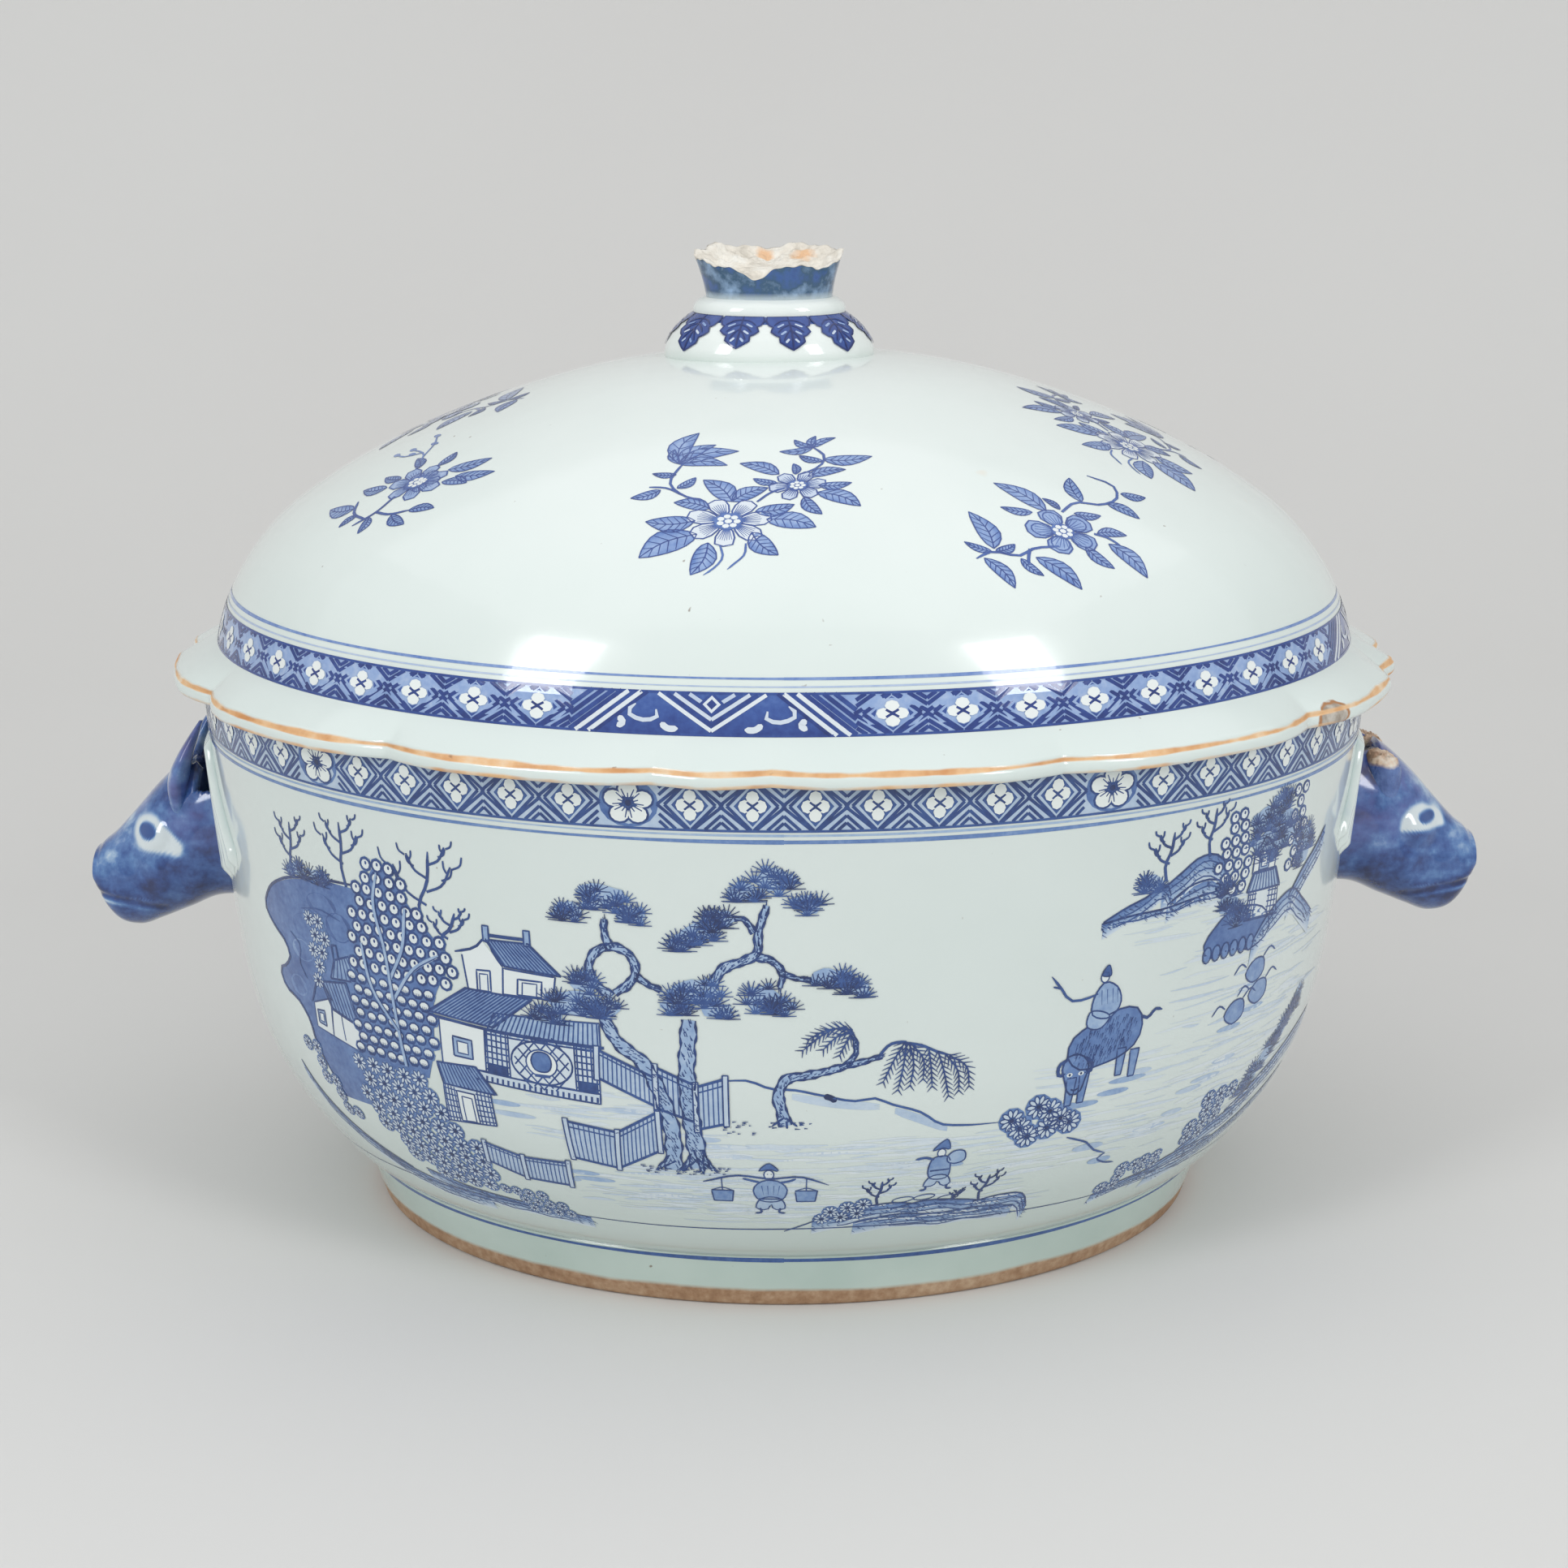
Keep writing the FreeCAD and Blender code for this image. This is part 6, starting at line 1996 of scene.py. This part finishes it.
def buffalo_rider(p):
    """A herder on a water buffalo that turns its head to graze, with its zero under the belly."""
    for x, y, wide in ((-9.6, -6, 4), (9, -1.4, 6), (5, -4.4, 5), (-4, -6.4, 5)):
        puddle(p, x, y, wide, 0.9, 0.34)
    for x, y, foot in ((5.4, 8, 0.4), (9.6, 7, -0.6), (-5, 3, -5.6), (-8.6, 2, -6)):
        p.patch([(x - 1.3, y), (x + 1.5, y), (x + 0.9, foot), (x - 0.9, foot)],
            0.46, MIDDLE, edge=0.86, width=0.4, smooth=False)
    body = [(-6.6, 4), (-10.6, 8.2), (-9.6, 12.6), (-5, 15.8), (1, 18.2), (5, 19.2), (9.4, 18), (11, 14),
        (9.8, 9), (6, 6.2), (0, 4.6)]
    p.patch(body, 0.56, MIDDLE + 0.01, edge=0.9, width=0.5)
    dots = np.random.default_rng(3)
    r, a = np.sqrt(dots.uniform(0, 1, 190)), dots.uniform(0, 2 * np.pi, 190)
    at = np.stack([0.2 + 9.2 * r * np.cos(a), 11.6 + 5.6 * r * np.sin(a) + 0.3 * 9.2 * r * np.cos(a)], -1)
    p.hairs(at, at + [-0.4, -1.5], 0.26, 0.86, INK)
    p.patch([(-10.4, 8), (-11.6, 5), (-10.4, 1.2), (-8.6, -2.6), (-6.2, -2.8), (-4.6, 1.4), (-4, 5),
        (-6.6, 8.2)], 0.5, INK, edge=0.9, width=0.5)
    p.stroke([(-10.2, 7.4), (-12.6, 6), (-12.2, 3), (-10.6, 3.6)], 1.0, 0.86, ACCENT)
    p.stroke([(-5.2, 7.4), (-3, 5), (-3.6, 2.8), (-4.6, 3.6)], 1.0, 0.86, ACCENT)
    p.blots([(-9.3, 3), (-6, 3)], 0.9, 0.6, 0.05, ACCENT, sides=8)
    p.blots([(-9.3, 3), (-6, 3)], 0.35, 0.4, 1.0, WHITE, sides=6)
    p.stroke([(-8.4, -1.2), (-7.3, -1.7), (-6.3, -1.2)], 0.5, 0.92, ACCENT)
    p.stroke([(10.4, 16), (12.4, 15), (15, 17), (17, 16.4)], 0.9, 0.86, INK)
    p.patch([(-4.6, 18.6), (-4, 24.6), (-1.8, 27), (1.8, 25.4), (3.4, 20.4), (1, 17.4)],
        0.36, INK, edge=0.86, width=0.45)
    p.patch([(-5.4, 19.4), (-5.8, 15.6), (-2, 14.6), (0.6, 17.4)], 0.3, INK + 0.02, edge=0.86, width=0.4)
    p.stroke([(-3.6, 24.2), (-8, 23.2), (-11, 23.4), (-14.4, 27.4), (-17, 30.6)], 0.7, 0.8, ACCENT)
    p.stroke([(-14, 27), (-16.4, 27.8)], 0.5, 0.8, ACCENT)
    p.blots([(-2, 28.4)], 1.2, 1.4, 0.04, ACCENT, sides=12)
    p.rings([(-2, 28.4)], 1.2, 1.4, 0.35, 0.82, WHITE, sides=12)
    p.patch([(-3, 29), (-1.2, 31.6), (-0.4, 28.6)], 0.7, WHITE, edge=0.9, width=0.3)
    for x in (-2.6, -1, 0.6, 2):
        p.hairs([(x, 25)], [(x + 0.4, 21)], 0.25, 0.7, ACCENT)


# %% Front: people, shore and right banks
front.base = 0.04
front.placed(porter, -3.6, 25)
front.placed(sack_bearer, 41.6, 31.6)
front.placed(buffalo_rider, 83.4, 60)
front.base = 0.0
front.stroke([(0, 16.4), (6, 19.6), (10, 21.8), (18, 22), (26, 23.2)], 0.5, 0.86)
for crest, depth in (([(8, 22), (14, 24), (24, 27), (31, 27.6), (38, 26.4)], 7),
        ([(30, 25), (40, 27.6), (50, 26.6), (58, 25)], 7), ([(20, 20), (32, 22.6), (44, 21.6), (56, 22.4),
        (68, 21)], 6), ([(54, 25), (62, 26.4), (69, 25.6), (73, 19)], 7)):
    bank(front, crest, depth, dice, 0.6, 3)
daisies(front, np.array([(13, 25), (17.6, 26.6), (22, 27.6), (10.6, 22), (16, 22.6), (20.6, 24)]), 2.3)
for u, v, high, lean in ((26, 27, 9, 0.05), (55.6, 25.6, 9.4, 0.12), (47.6, 26.6, 4, 0.4)):
    horned_tree(front, u, v, high, lean, dice, 0.9, 0.8)
for u, v in ((33, 28.6), (39, 29), (46, 28)):
    front.rings([(u, v)], 3, 1.0, 0.4, 0.85, INK, sides=14, turn=0.12)

for crest, depth in (([(97, 17), (104, 20), (112, 21.6), (120, 22.6)], 4.5), ([(112, 21), (122, 25.6),
        (130, 26.6), (141, 27)], 6), ([(124, 27), (134, 33), (143, 36), (152, 39)], 8),
        ([(140, 36), (150, 42), (160, 47), (172, 52), (184, 55)], 9), ([(118, 20), (132, 22.6), (146, 27),
        (160, 33), (176, 40)], 7)):
    bank(front, crest, depth, dice, 0.55, 3)
daisies(front, staggered(np.arange(27, 19, -3.6), [(28, 103), (19, 98)], [(28, 108), (19, 106)],
    4.6, dice), 2.3)
daisies(front, staggered(np.arange(28, 22, -3.4), [(28, 110), (22, 108)], [(28, 117), (22, 116)],
    4.6, dice), 2.3)
daisies(front, staggered(np.arange(44, 29, -4.2), [(44, 127), (29, 122)], [(44, 138), (29, 132)],
    5.2, dice), 2.6)
for u, v, wide, high in ((146, 45, 6, 6), (152, 51, 6, 6), (158, 57, 6, 6), (164, 63, 5, 6)):
    pine_pad(front, u, v, wide, high, dice, 0.5)
for at, spread in (((105, 41), 6), ((116, 50), 5), ((122, 52), 6), ((96, 60), 4), ((112, 44), 4),
        ((128, 56), 5)):
    puddle(front, at[0], at[1], spread, 0.9, 0.2)

# %% Front: islet with a pavilion
bank(front, [(79.4, 103), (86, 106), (92, 108), (97, 110.6), (99, 107)], 4.6, dice, 0.66, 2)
bank(front, [(96, 109), (102, 112.6), (107, 115.4), (113, 115.2), (117, 112)], 7, dice, 0.6, 3)
bank(front, [(98, 104.6), (105, 108.4), (111, 109), (118, 107)], 5, dice, 0.6, 2)
bank(front, [(79, 102.6), (88, 103.6), (97, 103.8), (106, 104.8), (116, 105.4)], 2, dice, 0.5, 1)
pine_pad(front, 92.4, 111, 5.4, 3.6, dice)
horned_tree(front, 97, 111, 12.5, 0.1, dice)
horned_tree(front, 110.6, 115, 12.5, 0.06, dice)
front.base = 0.03
for u, v, wide, high in ((131, 121, 9, 5), (133, 114, 9, 6), (141, 117, 8, 7), (150, 110, 7, 8),
        (137, 125, 6, 3.4)):
    pine_pad(front, u, v, wide, high, dice, -0.1, 0.8)
ring_leaves(front, staggered(np.arange(124, 103, -3.2), [(124, 118), (112, 113.6), (103, 117)],
    [(124, 122), (114, 127), (103, 124)], 3.6, dice), 1.7, 0.84)
ring_leaves(front, staggered(np.arange(126, 104, -3.3), [(126, 144), (104, 143)], [(126, 148), (104, 151)],
    3.8, dice), 1.7, 0.8)
for u, v, wide, high in ((119, 101, 5, 4), (122, 97, 5, 3.4), (118, 106, 4, 3)):
    pine_pad(front, u, v, wide, high, dice)
front.base = 0.06
front.patch([(112, 91), (115, 95), (120, 98.6), (126, 99), (136, 95), (138, 90), (132, 86.6), (122, 88),
    (113, 88)], 0.62, MIDDLE, edge=0.86, width=0.5)
for u in np.arange(113.6, 131, 3.3):
    front.rings([(u, 88.2)], 1.5, 2.2, 0.4, 0.85, ACCENT, sides=12)
    front.blots([(u, 88.2)], 1.2, 1.9, 0.5, INK, sides=10)
panel(front, [(127.4, 107), (136.6, 106.6), (136.8, 112), (127.6, 112.6)], 0.02)
window(front, [(129.8, 107.6), (133.8, 107.4), (133.8, 111.4), (129.8, 111.6)])
front.stroke([(126.4, 112), (129.4, 114), (131.6, 116.4), (134.6, 113.6), (138, 111.4)], 0.7, 0.88)
tiled_roof(front, [(126, 102.4), (140.4, 101.4), (137.4, 107), (128, 107.4)], 10, 0.3)
panel(front, [(126.8, 95), (140, 94), (139.4, 101.6), (127, 102.4)], 0.06)
for side in ([(127, 95), (130.2, 94.8), (130.2, 102), (127.2, 102.2)], [(135, 94.4), (139.4, 94),
        (139.2, 101.4), (135, 101.8)]):
    lattice(front, side, 3, 5)
front.ruled([(126, 94.8), (141, 93.6)], 0.6, 0.86)
front.base = 0.09
for crest in ([(131, 88), (136, 93.6), (142, 97.4), (148, 98.6), (154, 94.6), (162, 89)],
        [(146, 97), (152, 103), (158, 107), (164, 112)]):
    bank(front, crest, 7, dice, 0.5, 3)
front.base = 0.0
for u, v in ((134.6, 79), (137.4, 72.4), (128, 69)):
    front.patch([(u - 4, v), (u - 1, v + 3.4), (u + 3.4, v + 3), (u + 4, v - 1), (u, v - 3)],
        0.45, MIDDLE, edge=0.86, width=0.45)
    front.stroke([(u - 4, v + 2), (u - 6.4, v + 3.4), (u - 9, v + 1)], 0.5, 0.8)
    front.stroke([(u + 3, v + 3.4), (u + 6, v + 5.6), (u + 8.6, v + 4)], 0.5, 0.8)
    puddle(front, u - 1, v - 3.8, 5, 0.8, 0.3)

# %% Front: ground and water
water(front, (-58, 2), (24, 40), 90, dice)
water(front, (-30, 62), (20, 50), 190, dice, (0.04, 0.12))
water(front, (-72, -30), (46, 62), 60, dice, (0.05, 0.14))
water(front, (58, 150), (34, 66), 150, dice, (0.04, 0.13))
water(front, (98, 165), (66, 90), 70, dice, (0.05, 0.15))
water(front, (84, 128), (94, 104), 30, dice, (0.05, 0.12))
for u, v, wide, tone in ((-74, 55, 5, 0.3), (-72, 52, 7, 0.2), (-40, 57, 7, 0.18), (-55, 36, 5, 0.3),
        (-52, 34, 6, 0.3), (-16, 48, 8, 0.14), (-14, 45, 6, 0.14), (-20, 50, 4, 0.2), (-60, 33, 4, 0.26)):
    puddle(front, u, v, wide, 0.8, tone)
for crest, depth in (([(-154, 48), (-148, 40), (-140, 33), (-130, 27), (-119, 22)], 6),
        ([(-134, 28), (-120, 21.6), (-106, 18.6), (-92, 18)], 6), ([(-112, 24), (-98, 21), (-84, 19.6),
        (-70, 18.6), (-58, 17)], 5)):
    bank(front, crest, depth, dice, 0.6, 3)

front.fire(cobalt, "tureen", "bowl_glaze")

# %% [markdown]
# The far side carries a calmer river view made from the same signs, as painters repeated
# them round a pot: a bank with pines and a pavilion, a ring tree, a bridge-like shore,
# a herder, and hills beyond the water.  Its zero is the middle of the far side.

# %% Back landscape
back = Painting("bowl_back_landscape", bowl_skin)
dice = np.random.default_rng(11)
back.origin = bowl_skin.around / 2, 0
for crest, depth in (([(-118, 40), (-100, 44), (-82, 43), (-64, 46), (-46, 44), (-30, 38)], 9),
        ([(-96, 30), (-74, 33), (-50, 32), (-26, 34), (-8, 30)], 8), ([(10, 24), (30, 27), (52, 26),
        (74, 29), (98, 27)], 8), ([(54, 33), (74, 38), (96, 40), (118, 37)], 8),
        ([(-60, 20), (-36, 22.6), (-10, 21), (16, 20)], 6)):
    bank(back, crest, depth, dice, 0.58, 3)
back.base = 0.02
for low, high in (([(20, 96), (34, 101), (50, 104), (66, 101), (80, 95)], [(20, 97), (33, 110), (49, 122),
        (63, 113), (80, 97)]), ([(62, 95), (78, 97), (94, 99), (110, 94)], [(62, 96), (78, 108), (95, 113),
        (110, 95)])):
    back.wash(low, high, 0.1, 0.42)
    back.stroke(high, 0.6, 0.85)
bank(back, [(14, 94), (40, 96), (70, 95), (112, 93)], 3, dice, 0.5, 1)
horned_tree(back, 46, 118, 12, 0.08, dice)
horned_tree(back, 92, 111, 11, -0.05, dice)
back.base = 0.05
trunk(back, [(-52, 44), (-53, 58), (-50, 72), (-54, 88), (-50, 102)], 4.6, 1.8, dice)
trunk(back, [(-60, 44), (-63, 58), (-70, 68), (-74, 80)], 4.0, 1.6, dice)
trunk(back, [(-52, 80), (-42, 86), (-34, 88)], 1.8, 0.9, dice)
trunk(back, [(-53, 66), (-42, 70), (-36, 74)], 1.8, 0.9, dice)
back.base = 0.1
for u, v, wide, high in ((-50, 106, 9, 5), (-59, 101, 6, 3.6), (-41, 101, 6, 3.6), (-31, 90, 8, 4.4),
        (-24, 86.6, 5, 3), (-33, 76, 8, 4.4), (-26, 73, 5, 3), (-75, 84, 9, 4.8), (-84, 80, 5.6, 3.4),
        (-67, 80, 5.4, 3.4), (-62, 91, 5, 3.4)):
    pine_pad(back, u, v, wide, high, dice)
for root in ([(-52, 47), (-56, 42)], [(-51, 47), (-46, 42.4)], [(-60, 47), (-65, 43)]):
    back.stroke(root, 1.2, 0.86)
back.base = 0.03
hut = [[(-8, 46), (14, 45), (14, 58), (-7, 59)], [(14, 45), (26, 48), (26, 60), (14, 58)]]
for wall in hut:
    panel(back, wall, 0.04)
    window(back, within(wall, 0.3, 0.3, 0.7, 0.75))
tiled_roof(back, [(-11, 58), (17, 57), (10, 68), (-5, 69)], 15)
tiled_roof(back, [(17, 57), (29, 59.6), (20, 69), (10, 68)], 8, 0.5)
panel(back, [(-4, 69), (10, 68.4), (10, 75), (-3, 75.6)], 0.04)
bars(back, [(-4, 69), (10, 68.4), (10, 75), (-3, 75.6)], 7)
tiled_roof(back, [(-8, 75), (14, 74), (8, 83), (-2, 84)], 11)
back.stroke([(-9, 75.6), (-4, 80), (-2, 84.4), (3, 86), (8, 83.4), (11, 79), (15.4, 74.6)], 0.7, 0.88)
paling(back, [(26, 46), (38, 44), (50, 47)], [(26, 56), (38, 54), (50, 57)])
paling(back, [(-30, 44), (-18, 42), (-8, 46)], [(-30, 53), (-18, 51), (-8, 55)])
back.base = 0.06
crown_rows = np.arange(112, 74, -3.5)
ring_leaves(back, staggered(crown_rows, [(112, -112), (100, -119), (88, -118), (74, -113)], [(112, -106),
    (100, -96), (88, -95), (74, -101)], 3.8, dice), 1.85)
shell_leaves(back, staggered(np.arange(70, 50, -3.4), [(72, -118), (50, -114)], [(72, -100), (50, -96)],
    3.8, dice), 1.9)
trunk(back, [(-106, 42), (-107, 50), (-105, 58)], 3.4, 2.6, dice)
daisies(back, staggered(np.arange(46, 30, -4.6), [(46, -128), (30, -118)], [(46, -112), (30, -100)],
    5.4, dice, 0.3), 2.6)
daisies(back, staggered(np.arange(38, 28, -4.6), [(38, 96), (28, 100)], [(38, 112), (28, 118)],
    5.4, dice, 0.3), 2.6)
back.placed(buffalo_rider, 76, 56)
back.placed(porter, -28, 24)
back.placed(sack_bearer, 38, 30)
back.base = 0.0
water(back, (-120, 100), (50, 92), 260, dice, (0.04, 0.13))
water(back, (-100, 110), (18, 34), 160, dice, (0.05, 0.14))
dashes(back, (-66, -44), (40, 43), 30, dice)
back.fire(cobalt, "tureen", "bowl_glaze")

# %% [markdown]
# The pot stands on a pale table that runs up into a pale backdrop.  Two tall soft boxes
# stand in front to the left and right, and a wide one hangs overhead, which is how
# glazed ware is lit so that its form shows and only a few soft highlights form.

# %% Table and light
def sweep():
    """A straight floor, a quarter circle of radius r, and a straight wall, as one curved sheet.

    The quarter circle is y = start + r sin(t), z = r - r cos(t), with t from 0 to a right angle.
    """
    start, radius, top = 0.6, 0.9, 2.6
    turn = np.linspace(0, math.pi / 2, 24)
    bend = np.stack([start + radius * np.sin(turn), radius - radius * np.cos(turn)], -1)
    line = np.concatenate([[(-6.0, 0.0)], bend, [(start + radius, top)]])
    across = np.linspace(-7.0, 7.0, 9)
    y, x = np.meshgrid(line[:, 0], across, indexing="ij")
    z = np.repeat(line[:, 1:], 9, 1)
    return make_piece("table_sweep", np.stack([x, y, z], -1), grid_quads(len(line), 9, wrap_columns=False))


table = sweep()
paper = Finish("pale_paper")
paper.surface(Base_Color=paper.mix(paper.noise(2.0), shade(214, 213, 211), shade(219, 219, 217)),
              Roughness=0.85)
table.data.materials.append(paper.material)


def soft_box(name, place, target, width, height, watts):
    """A flat area light that faces its target."""
    lamp = bpy.data.lights.new(name, "AREA")
    lamp.shape = "RECTANGLE"
    lamp.size = width
    lamp.size_y = height
    lamp.energy = watts
    holder = bpy.data.objects.new(name, lamp)
    bpy.context.scene.collection.objects.link(holder)
    holder.location = place
    holder.rotation_euler = (Vector(target) - Vector(place)).to_track_quat("-Z", "Y").to_euler()


soft_box("left_box", (-1.15, -1.25, 1.05), (0, 0, 0.12), 0.42, 0.75, 9)
soft_box("right_box", (1.15, -1.25, 1.05), (0, 0, 0.12), 0.42, 0.75, 9)
soft_box("top_box", (0, 0.3, 2.6), (0, 0, 0.1), 5.0, 5.0, 26)
world = bpy.data.worlds.new("studio")
world.use_nodes = True
world.node_tree.nodes["Background"].inputs[0].default_value = (0.93, 0.94, 0.95, 1)
world.node_tree.nodes["Background"].inputs[1].default_value = 0.66
scene = bpy.context.scene
scene.world = world
scene.view_settings.view_transform = "Standard"

# %% [markdown]
# The camera is a long lens a little above the rim, looking down about fifteen degrees.

# %% Camera
LENS_SHARE = 1.766        # focal length over the picture's width
DISTANCE = 0.746
EYE_HEIGHT = 0.318
LOOK_DOWN = math.radians(15.33)
camera = bpy.data.cameras.new("camera")
camera.sensor_width = 36
camera.lens = 36 * LENS_SHARE
camera.clip_start = 0.01
eye = bpy.data.objects.new("camera", camera)
eye.location = (0, -DISTANCE, EYE_HEIGHT)
eye.rotation_euler = (math.pi / 2 - LOOK_DOWN, 0, 0)
scene.collection.objects.link(eye)
scene.camera = eye
